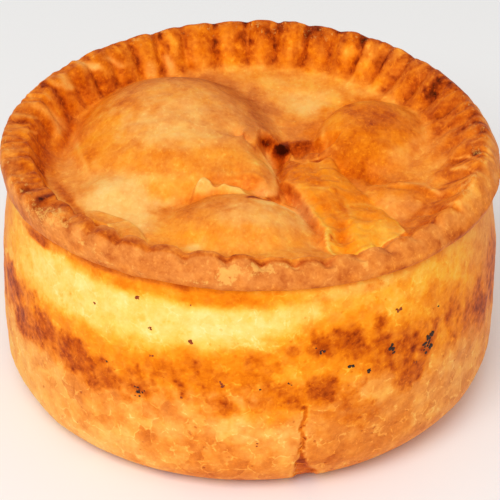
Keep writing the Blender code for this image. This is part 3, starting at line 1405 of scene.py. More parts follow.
@dataclass(frozen=True)
class CrustFinish:
    """Baked hot-water crust: from pale dough to dark brown, glossy or floury, with fine crumbs."""

    name: str
    mottle: float = 0.10
    grain: float = 0.09
    flakes: float = 0.0
    flake_edge: float = 0.20
    flake_size: float = 3.5
    pits: float = 0.0
    flecks: float = 0.07
    roughness: float = 0.52
    coarse_bump: float = 0.25
    fine_bump: float = 0.25
    sheen_level: float = 0.12
    stretch: float = 1.0

    BRIGHT = (
        (0.00, (255, 228, 136)),
        (0.12, (255, 217, 110)),
        (0.25, (255, 201, 82)),
        (0.38, (255, 178, 50)),
        (0.50, (253, 152, 28)),
        (0.60, (243, 132, 16)),
        (0.70, (224, 110, 8)),
        (0.80, (194, 80, 4)),
        (0.90, (138, 42, 3)),
        (1.00, (58, 12, 2)),
    )
    DULL = (
        (0.00, (255, 230, 168)),
        (0.12, (255, 216, 142)),
        (0.25, (255, 202, 114)),
        (0.38, (254, 184, 97)),
        (0.50, (246, 163, 80)),
        (0.60, (231, 140, 64)),
        (0.70, (214, 121, 52)),
        (0.80, (189, 93, 36)),
        (0.90, (146, 58, 18)),
        (1.00, (66, 20, 7)),
    )
    CREAM = (253, 190, 96)

    def material(self) -> bpy.types.Material:
        """Builds the material.

        Returns:
            The finished material.
        """
        n = Nodes(self.name, self.stretch)
        mottle = n.noise(3.2, 4.0, 0.6)
        grain = n.noise(0.7, 3.0, 0.6)
        bake = n.math("MULTIPLY_ADD", mottle, self.mottle * 2.2, -self.mottle * 1.1)
        fine = n.math("MULTIPLY_ADD", grain, self.grain * 2.2, -self.grain * 1.1)
        bake = n.math("ADD", n.math("ADD", n.tone(Tone.BAKE), bake), fine)
        height = n.math("MULTIPLY", mottle, 0.6)
        if self.flakes > 0:
            place = n.warped(2.6, 1.3)
            gap = n.cells(self.flake_size, "DISTANCE_TO_EDGE", place)
            broken = n.step(n.noise(1.8, 3.0, 0.65), 0.49, 0.60)
            edge = n.math("MULTIPLY", n.math("SUBTRACT", 1.0, n.step(gap, 0.01, 0.06)), broken)
            edge = n.math("MULTIPLY", edge, n.tone(Tone.CRUMB))
            bake = n.math("SUBTRACT", bake, n.math("MULTIPLY", edge, self.flake_edge))
            shade = n.cells(self.flake_size, "F1", place).node.outputs["Color"]
            shade = n.math("MULTIPLY", n.math("SUBTRACT", shade, 0.5), n.tone(Tone.CRUMB))
            bake = n.math("ADD", bake, n.math("MULTIPLY", shade, self.flakes))
            height = n.math("ADD", height, n.math("MULTIPLY", shade, 0.9))
        if self.pits > 0:
            spots = n.cells(1.5, "F1", n.warped(1.0, 0.4))
            pit = n.math("SUBTRACT", 1.0, n.step(spots, 0.10, 0.26))
            pit = n.math("MULTIPLY", pit, n.step(n.noise(3.0, 2.0), 0.52, 0.62))
            pit = n.math("MULTIPLY", pit, n.tone(Tone.CRUMB))
            bake = n.math("ADD", bake, n.math("MULTIPLY", pit, self.pits))
            height = n.math("SUBTRACT", height, n.math("MULTIPLY", pit, 0.5))
        flecks = n.step(n.noise(0.9, 4.0, 0.6, n.warped(3.0, 1.5)), 0.56, 0.68)
        bake = n.math("SUBTRACT", bake, n.math("MULTIPLY", flecks, self.flecks))
        matt = n.math("MULTIPLY_ADD", n.noise(2.2, 3.0), 0.6, -0.3)
        matt = n.math("ADD", n.tone(Tone.MATT), matt, clamp=True)
        colour = n.mix(matt, n.ramp(bake, self.BRIGHT), n.ramp(bake, self.DULL))
        flour = n.math("MULTIPLY_ADD", n.noise(0.8, 4.0, 0.7), 1.6, -0.8)
        flour = n.step(n.math("ADD", n.tone(Tone.FLOUR), flour), 0.42, 0.72)
        colour = n.mix(n.math("MULTIPLY", flour, 0.6), colour, linear(*self.CREAM))
        height = n.math("ADD", height, n.math("MULTIPLY", flour, 0.25))
        normal = n.bump(height, self.coarse_bump, 0.6)
        normal = n.bump(grain, self.fine_bump, 0.15, normal)
        roughness = n.math("MULTIPLY_ADD", grain, 0.25, self.roughness - 0.12)
        return n.surface(
            Base_Color=colour,
            Roughness=roughness,
            Normal=normal,
            Specular_IOR_Level=self.sheen_level,
            Specular_Tint=linear(255, 190, 100),
        )


@dataclass(frozen=True)
class CharFinish:
    """Specks of crust, brittle and dull, and almost black where no other colours are given."""

    name: str
    dark: tuple[int, int, int] = (26, 18, 14)
    pale: tuple[int, int, int] = (74, 44, 26)

    def material(self) -> bpy.types.Material:
        """Builds the material.

        Returns:
            The finished material.
        """
        n = Nodes(self.name)
        lumps = n.noise(0.35, 3.0)
        colour = n.ramp(lumps, ((0.35, self.dark), (0.7, self.pale)))
        return n.surface(
            Base_Color=colour,
            Roughness=0.7,
            Normal=n.bump(lumps, 0.5, 0.2),
            Specular_IOR_Level=0.3,
        )


@dataclass(frozen=True)
class FloorFinish:
    """A plain pale studio floor."""

    name: str = "studio_floor"

    def material(self) -> bpy.types.Material:
        """Builds the material.

        Returns:
            The finished material.
        """
        n = Nodes(self.name)
        colour = n.ramp(n.noise(900.0, 1.0), ((0.3, (247, 247, 247)), (0.7, (250, 250, 250))))
        return n.surface(Base_Color=colour, Roughness=0.9, Specular_IOR_Level=0.1)


def dress(piece: bpy.types.Object, finish: bpy.types.Material) -> bpy.types.Object:
    """Gives a piece its finish and its place in the frame.

    Args:
        piece: The piece.
        finish: Its material.

    Returns:
        The same piece.
    """
    piece.data.materials.append(finish)
    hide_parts(NODE)
    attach(piece, BODY)
    LOG.info("%s: %d faces", piece.name, len(piece.data.polygons))
    return piece


# What colours the wall, by height and by degrees round it, which run from -345 to 15: browned
# areas, flaky ones and scorches.
WALL_MARKS = patches(
    # the back, browned evenly
    (-270, 35.5, 100, 6, 44, 20, 45, 30, 0, 100, 4), (-270, 7, 100, 6, 46, 80, 45, 30, 0, 100, 4),
    # the pale band below the lip
    (-100, 35, 75, 10, 38, 10, 25, 12, 0, 100, 4), (-117, 36, 36, 7.6, 19, 15, 45, 18, 0, 100, 3),
    (-97, 36.5, 14, 4.5, 13, 35, 60, 35), (-124, 31, 9, 3, 24, 15, 60, 35),
    (-130, 37.5, 16, 4, 16, 25), (-164, 36, 9, 8, 42, 10), (-184, 33, 17, 14, 55, 50, 40, 20),
    (-75, 40, 12, 3, 30, 30, 60, 35), (-52, 39, 20, 3.6, 43, 5, 50), (-81, 34, 5, 2.6, 36, 5),
    (-16, 37.5, 14, 7, 50, 60, 50, 25),
    # the orange edge under the lip: browned crust with painted shade under the overhang, and thin
    # darker lines of painted shadow right below it
    (-107, 44.2, 30, 3.7, 59, 0, 35, 12, 0, 100, 3),
    (-142, 44.4, 14, 2.2, 60, 5, 40, 20, 0, 100, 3), (-124, 43.9, 17, 0.7, 76, 20, 60, 50),
    (-148, 42.2, 8, 0.8, 74, 10), (-58, 44.4, 22, 1, 54, 30, 60, 20), (-64, 42.6, 10, 1.2, 38, 40),
    # the browned band that the scorches lie in
    (-136, 26.5, 36, 4.6, 53, 0, 60, 25), (-94, 28.5, 20, 4.2, 53, 0, 60, 25),
    (-66, 31.5, 20, 6.5, 54, 0, 40), (-42, 30, 22, 7.5, 54, 5, 40),
    (-100, 25.6, 10, 3, 65, 0, 60, 45), (-81, 22, 7, 3.4, 64, 0, 60, 45),
    (-88, 18.5, 8, 2.2, 56, 10, 60, 45),
    # the dull foot
    (-150, 12, 16, 7, 47, 75), (-170, 12, 16, 12, 44, 60, 60, 20), (-142, 5, 30, 3.8, 36, 80),
    (-122, 9, 6, 2.6, 42, 75, 60, 45), (-97, 10, 6, 4, 61, 50, 60, 35),
    (-92, 15.2, 6, 3, 42, 70, 60, 45), (-109.5, 15, 4.5, 3.4, 42, 70, 60, 45),
    (-80, 13, 4, 4, 44, 80, 60, 45), (-94, 5, 10, 5, 60, 60, 60, 35),
    (-62, 13, 17, 8, 64, 60, 50, 35), (-62, 21.5, 5, 2.6, 46, 60, 60, 45),
    (-53, 22, 3, 2, 48, 60, 60, 45, 20), (-33, 13, 17, 9, 56, 90, 50),
    (-14, 20, 14, 16, 62, 60, 50, 25),
)
WALL_FLAKES = smudges(
    (-90, 36, 12, 5, 85, 60, 30), (-112, 35, 10, 4, 55, 60, 30), (-66, 26, 10, 3, 80, 60, 30),
    (-76, 38.5, 8, 3, 60, 60, 30),
)
SCORCHES = smudges(
    (-174, 25, 12, 6, 72, 70, 0, -10), (-160, 27.2, 7, 4.6, 98), (-151, 29.6, 4, 2, 62),
    (-153, 21.8, 5.5, 3.2, 105), (-144, 24, 8, 4, 100), (-134, 23.4, 7.5, 4, 100),
    (-140, 21.4, 4, 2.6, 74), (-127, 22, 6, 3.6, 98), (-116, 22.4, 5, 3.8, 86),
    (-110, 22.4, 4, 2.6, 54), (-109, 25.4, 9, 3.6, 64), (-100, 26.2, 8, 3.4, 62),
    (-91, 25.4, 7, 3.8, 58), (-86, 30.2, 5, 2.6, 54), (-97, 20.8, 6, 2.6, 52),
    (-91, 22.6, 5, 2.6, 52), (-71.5, 33, 8, 3, 84, 60), (-66.5, 30.4, 4, 2, 80, 60),
    (-60.5, 32, 3.4, 4.2, 74, 60), (-80.5, 32.2, 2.4, 1.4, 74, 60), (-74.5, 23.8, 4.6, 3.4, 98),
    (-80, 22.6, 4, 3.4, 74), (-68, 21, 4, 3, 56), (-56, 25.2, 3, 2.4, 98, 60),
    (-61, 26.2, 4, 2.8, 78), (-52.5, 28, 9, 4.6, 90), (-52.5, 22.4, 5, 3.8, 90),
    (-38, 29.5, 4, 6, 78), (-31, 26, 5, 4, 90), (-24, 25, 6, 6.2, 96), (-13, 28, 8, 8, 90),
    # scorches at the back
    (-216, 25, 14, 4, 80), (-244, 26, 10, 4.4, 66), (-278, 24, 14, 4, 80), (-310, 26.5, 9, 4, 60),
    (-334, 24.5, 12, 4.6, 82), (-194, 27, 8, 4.6, 66), (-67, 17.5, 6, 4, 55),
)


@dataclass
class Case:
    """The raised wall with its burnt band, its corner and its base."""

    form: DoughForm
    steps: int = 672
    wall_rings: int = 104
    corner_rings: int = 24
    base_rings: int = 6
    top_height: float = 44.6
    neck_flare: float = 0.35
    hidden_outline: tuple = ((44.6, 44.8), (44.0, 40.0), (43.0, 36.0), (0.0, 36.0))
    plain_bake: float = 0.55
    plain_matt: float = 0.55
    scorch_bake: float = 0.66
    char_bake: float = 0.80
    scorch_matt: float = 0.05
    crack_bake: float = 0.19
    crack_lip: float = 0.12
    blotch: float = 0.08
    crack: Line = field(default_factory=lambda: Line((
        (-65.1, 20.5, 0.10, 0.35), (-64.8, 18.0, 0.30, 0.50), (-65.2, 15.5, 0.35, 0.50),
        (-65.0, 13.0, 0.40, 0.40), (-65.4, 10.5, 0.45, 0.40), (-64.9, 8.6, 0.60, 0.55),
        (-65.0, 7.2, 0.80, 0.90), (-64.5, 5.2, 0.90, 1.50), (-63.9, 2.8, 0.80, 2.10),
        (-63.3, 0.2, 0.70, 2.70),
    )))
    marks: tuple[Patch | Stroke, ...] = WALL_MARKS
    flecked: tuple[Patch, ...] = WALL_FLAKES
    scorches: tuple[Patch, ...] = SCORCHES

    def profile(self) -> tuple[list[tuple[float, float]], int]:
        """Gives the turned outline, from the middle of the base to the hidden cap.

        Returns:
            The (radius, height) points, and the number of the first hidden one.
        """
        form = self.form
        foot = form.wall_radius - form.corner_radius
        points = [(foot * i / self.base_rings, 0.0) for i in range(self.base_rings)]
        for i in range(self.corner_rings):
            turn = math.pi / 2 * i / self.corner_rings
            points.append((
                foot + form.corner_radius * math.sin(turn),
                form.corner_radius * (1 - math.cos(turn)),
            ))
        rise = self.top_height - form.corner_radius
        for i in range(self.wall_rings + 1):
            height = form.corner_radius + rise * i / self.wall_rings
            share = form.wall_share(height)
            flare = self.neck_flare * max(share - 1, 0) ** 0.5
            points.append((form.wall_reach(share) + flare, height))
        return [*points, *self.hidden_outline], len(points)

    def crumb_share(self, height: Array) -> Array:
        """Gives how crumbly the wall is at a height."""
        return 0.42 + 0.58 * (1 - ease(17.0, 30.0, height))

    def baked(
        self, points: Array, degrees: Array, height: Array, fray: Array
    ) -> tuple[Array, Array, Array]:
        """Works how the wall is baked, but for its crack.

        Args:
            points: Points.
            degrees: Degrees round the wall.
            height: Heights of the turned shape.
            fray: Noise that makes edges uneven.

        Returns:
            The bake, matt and crumb values.
        """
        grain = self.form.grain
        bake = self.plain_bake + 0.06 * grain.layered(points + 70, 9.0, 3)
        matt = np.full_like(bake, self.plain_matt)
        bake, matt = paint(self.marks, degrees, height, fray, bake, matt)
        bake = bake + self.blotch * grain.layered(points + 110, 2.6, 3)
        scorch = strongest(self.scorches, np.zeros_like(bake), degrees, height, fray)
        arc = degrees * WALL_ARC
        upright = np.stack([arc + 0.35 * height, 0.42 * height, np.zeros_like(arc)], 1)
        streaks = grain.layered(upright @ grain.turn.T, 1.5, 3)
        fine = grain.layered(points + 47, 1.2, 3)
        ragged = 0.35 * streaks + 0.35 * grain.layered(points + 31, 3.4, 4) + 0.45 * fine
        burnt = ease(0.16, 0.74, scorch + 0.46 * ragged)
        bake = bake + (self.scorch_bake - bake) * burnt
        core = ease(0.46, 1.06, scorch + 0.50 * ragged)
        bake = bake + (self.char_bake + 0.07 * fine - bake) * core
        matt = matt + (self.scorch_matt - matt) * 0.8 * burnt
        crumb = strongest(self.flecked, self.crumb_share(height), degrees, height, fray)
        return bake, matt, np.clip(crumb + 0.3 * fray, 0, 1) * (1 - 0.6 * burnt)

    def cracked(
        self, points: Array, degrees: Array, height: Array, fray: Array
    ) -> tuple[Array, Array, Array]:
        """Finds where the crack runs.

        Args:
            points: Points.
            degrees: Degrees round the wall.
            height: Heights of the turned shape.
            fray: Noise that makes edges uneven.

        Returns:
            How far each point is in the crack, 0 to 1, the crack's depth there, and how near
            its lips are, 0 to 1.
        """
        grain = self.form.grain
        wander = 0.45 * fray + 0.30 * grain.layered(points + 83, 1.1, 2)
        away, depth, width = self.crack.near(degrees * WALL_ARC + wander, height)
        inside = 1 - ease(0.70, 1.30, away / width + 0.35 * grain.layered(points + 5, 1.5, 2))
        return inside, depth, np.exp(-(((away / width - 1.5) / 0.35) ** 2))

    def shape(self, ring: Array, angle: Array) -> tuple[Array, dict, set]:
        """Works the case's points and their tones.

        Args:
            ring: Ring numbers.
            angle: Even angles.

        Returns:
            Points in metres, values by tone, and the sharp rings.
        """
        profile, hidden = self.profile()
        outline = np.array(profile)
        radius, height = outline[ring, 0], outline[ring, 1]
        points = self.form.wall_point(radius, height, angle)
        grain = self.form.grain
        degrees = np.degrees(np.arctan2(points[:, 1], points[:, 0]))
        degrees = np.where(degrees > 15, degrees - 360, degrees)
        fray = grain.layered(points + 15, 4.0, 4)
        bake, matt, crumb = self.baked(points, degrees, height, fray)
        inside, depth, lips = self.cracked(points, degrees, height, fray)
        side = points * np.array([1.0, 1.0, 0.0])
        inward = -side / np.maximum(np.linalg.norm(side, axis=1), 1e-6)[:, None]
        points = points + inward * (inside * depth)[:, None]
        bake = bake + self.crack_bake * inside - self.crack_lip * lips
        matt = matt * (1 - 0.7 * inside)
        flour = 0.10 + 0.12 * grain.layered(points + 33, 5.0, 2)
        tones = {Tone.BAKE: bake, Tone.MATT: matt, Tone.CRUMB: crumb, Tone.FLOUR: flour}
        return self.form.place(points), tones, {hidden - 1, hidden}

    def build(self, finish: bpy.types.Material) -> bpy.types.Object:
        """Builds the case and dresses it in its finish."""
        piece = turned_mesh("case", len(self.profile()[0]), self.steps, False, self.shape)
        return dress(piece, finish)


# What colours the rim, by degrees and place across it.
RIM_MARKS = patches(
    # the back, dark on its crest and pale at its foot
    (85, 1.04, 58, 0.3, 83, 30, 50, 30, 0, 100, 3), (85, 0.45, 58, 0.26, 63, 5, 60, 25, 0, 100, 3),
    (90, 0.12, 62, 0.14, 52, 30, 60, 25, 0, 100, 3), (72, 0.6, 22, 0.42, 76, 12, 55),
    (74, 1.02, 24, 0.3, 86, 15, 50), (92, 0.95, 6, 0.3, 79, 10),
    (106, 0.75, 14, 0.45, 73, 12, 50, 35), (140, 0.95, 16, 0.32, 79, 20, 50),
    # the left
    (133, 0.55, 20, 0.6, 77, 10, 50), (158, 0.6, 16, 0.5, 76, 10, 50),
    (190, 0.45, 40, 0.44, 78, 5, 40, 15, 0, 100, 3), (195, 1.15, 40, 0.35, 70, 45, 50),
    (205, 1.7, 40, 0.45, 67, 75, 50), (216, 0.95, 12, 0.45, 82, 30, 50),
    (236, 1.3, 16, 0.6, 68, 95, 50),
    # the front, dull all over
    (-95, 1.5, 42, 0.7, 66, 95, 50, 20, 0, 100, 3), (-115, 1.45, 14, 0.6, 70, 95),
    (-100, 1, 38, 0.16, 74, 50, 50, 25, 0, 100, 3), (-50, 1.4, 24, 0.6, 66, 80, 50, 25),
    # the right
    (-4, 1.55, 22, 0.5, 59, 60, 50), (-26, 1.05, 10, 0.35, 55, 50, 50),
    (24, 1, 9, 0.4, 80, 30, 50), (8, 0.5, 30, 0.45, 72, 15, 50, 20),
    (-2, 0.9, 22, 0.28, 75, 20, 50), (34, 0.9, 18, 0.45, 79, 30, 50, 25),
    (20, 0.4, 20, 0.4, 73, 10, 50, 25), (10, 0.78, 24, 0.44, 84, 15),
    (-35, 0.75, 16, 0.3, 70, 20, 50, 25),
)
RIM_CRUMBS = smudges(
    (-93.8, 1.8, 2.4, 0.24, 76, 60, 60), (-91.8, 1.55, 2.2, 0.22, 66, 60, 60),
    (-85.8, 1.42, 3.2, 0.28, 74, 60, 60), (-103, 2, 4, 0.08, 56, 60, 60),
    (-122, 2, 14, 0.08, 44, 60, 80), (-81, 1.3, 3, 0.12, 60, 60, 60),
    (-91, 1.6, 6, 0.3, 48, 60, 60), (-128, 1.7, 6, 0.25, 50, 70, 60),
    (-140, 1.2, 7, 0.4, 55, 70, 60), (-146, 1.6, 5, 0.25, 50, 70, 60),
    (205, 1.1, 14, 0.35, 42, 70, 60), (180, 1.1, 18, 0.35, 40, 70, 60),
    (0, 1.05, 24, 0.3, 40, 70, 60), (-20, 1.05, 8, 0.3, 50, 70, 60),
    (90, 0.95, 60, 0.3, 36, 70, 60),
)
# What colours the lid, by place to the right and place on the slanted plan.
LID_MARKS = (
    *patches(
        # the sunken back of the lid
        (8, 24, 20, 10, 48, 35, 50, 20, -15), (9.5, 19.5, 6, 5, 35, 80, 60, 20, -30),
        (5, 28, 4, 3, 42, 50), (9, 7, 5, 4.5, 66, 60, 50, 20),
        # the left dome, whose pale crown is paler crust with a painted highlight on top
        (-14, 8, 21, 26, 57, 45, 25, 10), (-26, 17, 8, 12, 66, 10, 60, 25), (-26, 8, 5, 8, 51, 10),
        (-17, 22, 8, 5, 52, 50, 60, 40, 20), (-13, 11, 11, 9, 46, 85, 50, 30, -5),
        (-17, 6, 6, 4, 36, 85, 60, 40, 10), (-3, 9, 5, 9, 55, 70, 50, 25, 10),
        (-19, -3.8, 15, 5.5, 54, 25, 22, 22), (-14, 1.5, 5, 2.2, 48, 60, 60, 35),
        (-18, -13.5, 7, 3.4, 38, 80), (-19.5, 8.5, 3, 3, 42, 85, 60, 40),
        (-31, 1, 3, 5, 60, 5, 50, 25), (-4, -4.5, 8, 6, 54, 30, 40, 25, -10),
        # the pale hollow at the front left
        (-22.5, -18, 13, 8, 31, 98, 60, 15, -25), (-21, -25, 5, 5, 34, 95, 60, 15, -60),
        (-14, -14, 5, 5, 47, 30, 60, 25),
    ),
    # the back and right flank of the left dome, where browner crust carries painted shade as it
    # slopes away
    Stroke((
        (-25, 24, 0.4, 2.4), (-17, 29.3, 0.8, 2.6), (-9, 30, 1, 3), (-3, 25, 1, 3.6),
        (1.5, 17, 1, 3.6), (2.5, 9, 0.8, 2.8),
    ), 0.71, 0.8),
    *patches(
        # the front dome
        (-4, -28, 14, 12, 53, 30, 20, 10), (-9, -20.5, 6.5, 3.6, 67, 25, 60, 30, 20),
        (1.5, -24, 8, 5, 46, 75, 50, 30, -20), (-12, -31, 5, 4, 49, 15, 60, 25),
        (2, -33, 9, 4, 50, 35, 60, 25), (-10.2, -34.6, 1.5, 1.3, 33, 70, 60, 30, 30),
        # the right dome, with a darker crescent under its top edge that is browner crust and
        # painted shade
        (22, 5, 10, 16, 66, 5, 25, 12), (25, 13.5, 3, 5.5, 73, 5, 60, 45, 5),
        (20.5, 16.5, 4, 2.4, 68, 5, 60, 45, 10), (18.7, 18.5, 1.1, 0.7, 78, 5, 50, 45, 30),
        (19.4, 15.1, 1.3, 0.9, 78, 5, 50, 45, 10), (16.2, 10, 1.6, 5, 55, 5, 60, 45, 10),
    ),
    Stroke(((23.3, 9.6, 0.5, 0.5), (23.6, 6, 0.7, 0.6), (23.2, 2.4, 0.5, 0.5)), 0.5, 0.15, 0.5),
    Stroke((
        (18.1, 14.6, 0.5, 0.4), (18.9, 11.5, 0.7, 0.4), (20.3, 9.5, 0.4, 0.5),
    ), 0.5, 0.15, 0.5),
    *patches(
        (20.5, 2, 3, 6, 70, 0, 60, 40, -20), (24.5, -9, 5, 5, 73, 10),
        (29.5, -1.5, 3.4, 7, 56, 45, 60, 40, -38), (26, -7.5, 3, 2.8, 67, 40, 60, 30, -30),
        (33.2, 4.5, 1.4, 3, 50, 55, 60, 45, -30),
    ),
    # painted shade in the crease at its foot, the small dome before it, and painted shade along
    # the rim's inner edge beyond
    Stroke((
        (16.4, -1.5, 0.9, 1.1), (18.4, -6, 1, 1.4), (21.4, -10.5, 0.8, 1.2),
        (24.4, -14.2, 0.7, 0.9),
    ), 0.76, 0),
    *patches((29, -15, 5, 3, 66, 10, 60, 30, -10), (28.2, -20.5, 4, 4.2, 55, 70, 60, 30, -20)),
    # painted shade along the rim's inner edge at the front right
    Stroke((
        (32.6, -17.6, 0.7, 0.7), (32.2, -20, 0.9, 0.8), (30.8, -22.6, 0.8, 0.7),
        (28.6, -25.6, 0.8, 0.8), (27.6, -28, 0.6, 0.8),
    ), 0.75, 0.1, 0.4),
    Stroke((
        (29.9, -16.6, 0.4, 0.3), (31.2, -17.2, 0.8, 0.3), (31.9, -18.6, 0.5, 0.3),
    ), 0.74, 0.1, 0.4),
    # the vent and the tear, with painted shade over browner crust in the holes, in the cave under
    # the right dome's edge and in the groove beside the tongue, and pale torn edges
    Stroke((
        (6, -4, 0.9, 1.2), (6.2, -9, 1, 1.6), (7.2, -14, 1, 2.2), (9.6, -19, 1, 2.4),
        (11.6, -26, 0.9, 2),
    ), 0.72, 0.45, 0.2),
    *patches((10.5, 0.8, 4.6, 3, 79, 15, 35, 20, -5)),
    Stroke((
        (5.5, 1.5, 0.9, 1.1), (7.5, 3.6, 1, 1.1), (11, 4, 0.9, 0.9), (14.3, 3.2, 0.6, 0.8),
    ), 0.87, 0.05, 0.2),
    *patches((11, -1.2, 3.4, 1.3, 72, 30, 60, 20, 10)),
    Stroke(((12.3, 5, 0.6, 0.7), (12.5, 7, 0.7, 0.7), (12.9, 9, 0.3, 0.6)), 0.76, 0.1, 0.4),
    Stroke((
        (14.4, 0.3, 0.8, 0.3), (14.3, 3.2, 0.9, 0.3), (13.6, 4.5, 0.8, 0.35), (13.6, 7, 0.9, 0.35),
        (13.6, 9.3, 0.6, 0.35),
    ), 0.44, 0.4, 0.4),
    Stroke(((15.5, 2.4, 0.7, 0.3), (16.1, 1.2, 0.8, 0.3)), 0.46, 0.5, 0.5),
    *patches((2.6, 3.2, 1.9, 3.4, 88, 0, 40, 25, -15), (5.6, -0.3, 1.5, 2.9, 100, 0, 35, 25, -15)),
    Stroke((
        (5, -2, 1, 1.1), (5.4, -5, 0.9, 0.9), (5.7, -9, 0.8, 0.7), (5.2, -12, 0.5, 0.6),
    ), 0.87, 0, 0.2),
    *patches((6.4, -13.4, 1.4, 3, 75, 20, 40, 20, 15), (9.6, -22, 1.8, 4.4, 60, 100, 50, 20, 15)),
    Stroke((
        (2, 2, 0.5, 0.8), (3.4, -3, 0.8, 0.9), (4.1, -8, 0.8, 0.9), (4.2, -13, 0.7, 0.8),
    ), 0.42, 0.85, 0.2),
    # the tongue, with painted shade in the curl of its fold and under its end, and the torn edge
    # of the front dome
    Stroke((
        (-8.5, -11.2, 0.4, 0.35), (-6, -10.2, 0.7, 0.35), (-3, -10, 0.9, 0.4), (0, -9.9, 1, 0.45),
        (1.2, -10.6, 1, 0.45), (0.9, -12.2, 1, 0.5), (-0.6, -14, 0.9, 0.4),
    ), 0.8, 0.2),
    *patches(
        (2.2, -12.5, 1.5, 2.2, 56, 70, 50, 20), (2.4, -15.4, 2.2, 1.5, 55, 100, 50, 20),
        (0.4, -17.3, 1.5, 0.8, 93, 0, 30, 20, -20), (3.9, -17.5, 1.7, 0.9, 94, 0, 30, 20, 10),
    ),
    Stroke((
        (-0.2, -17.6, 0.8, 0.45), (2, -18.9, 0.9, 0.5), (4.5, -19.5, 1, 0.5), (6.5, -20.9, 1, 0.5),
        (8.3, -22.6, 1, 0.5), (9.3, -25.6, 0.8, 0.5), (9.8, -28, 0.3, 0.4),
    ), 0.32, 0.9, 0.8),
    Stroke(((-4.7, -22.8, 0.5, 0.3), (-4.2, -21.6, 0.8, 0.3), (-3, -20.8, 0.5, 0.3)), 0.68, 0.4),
)
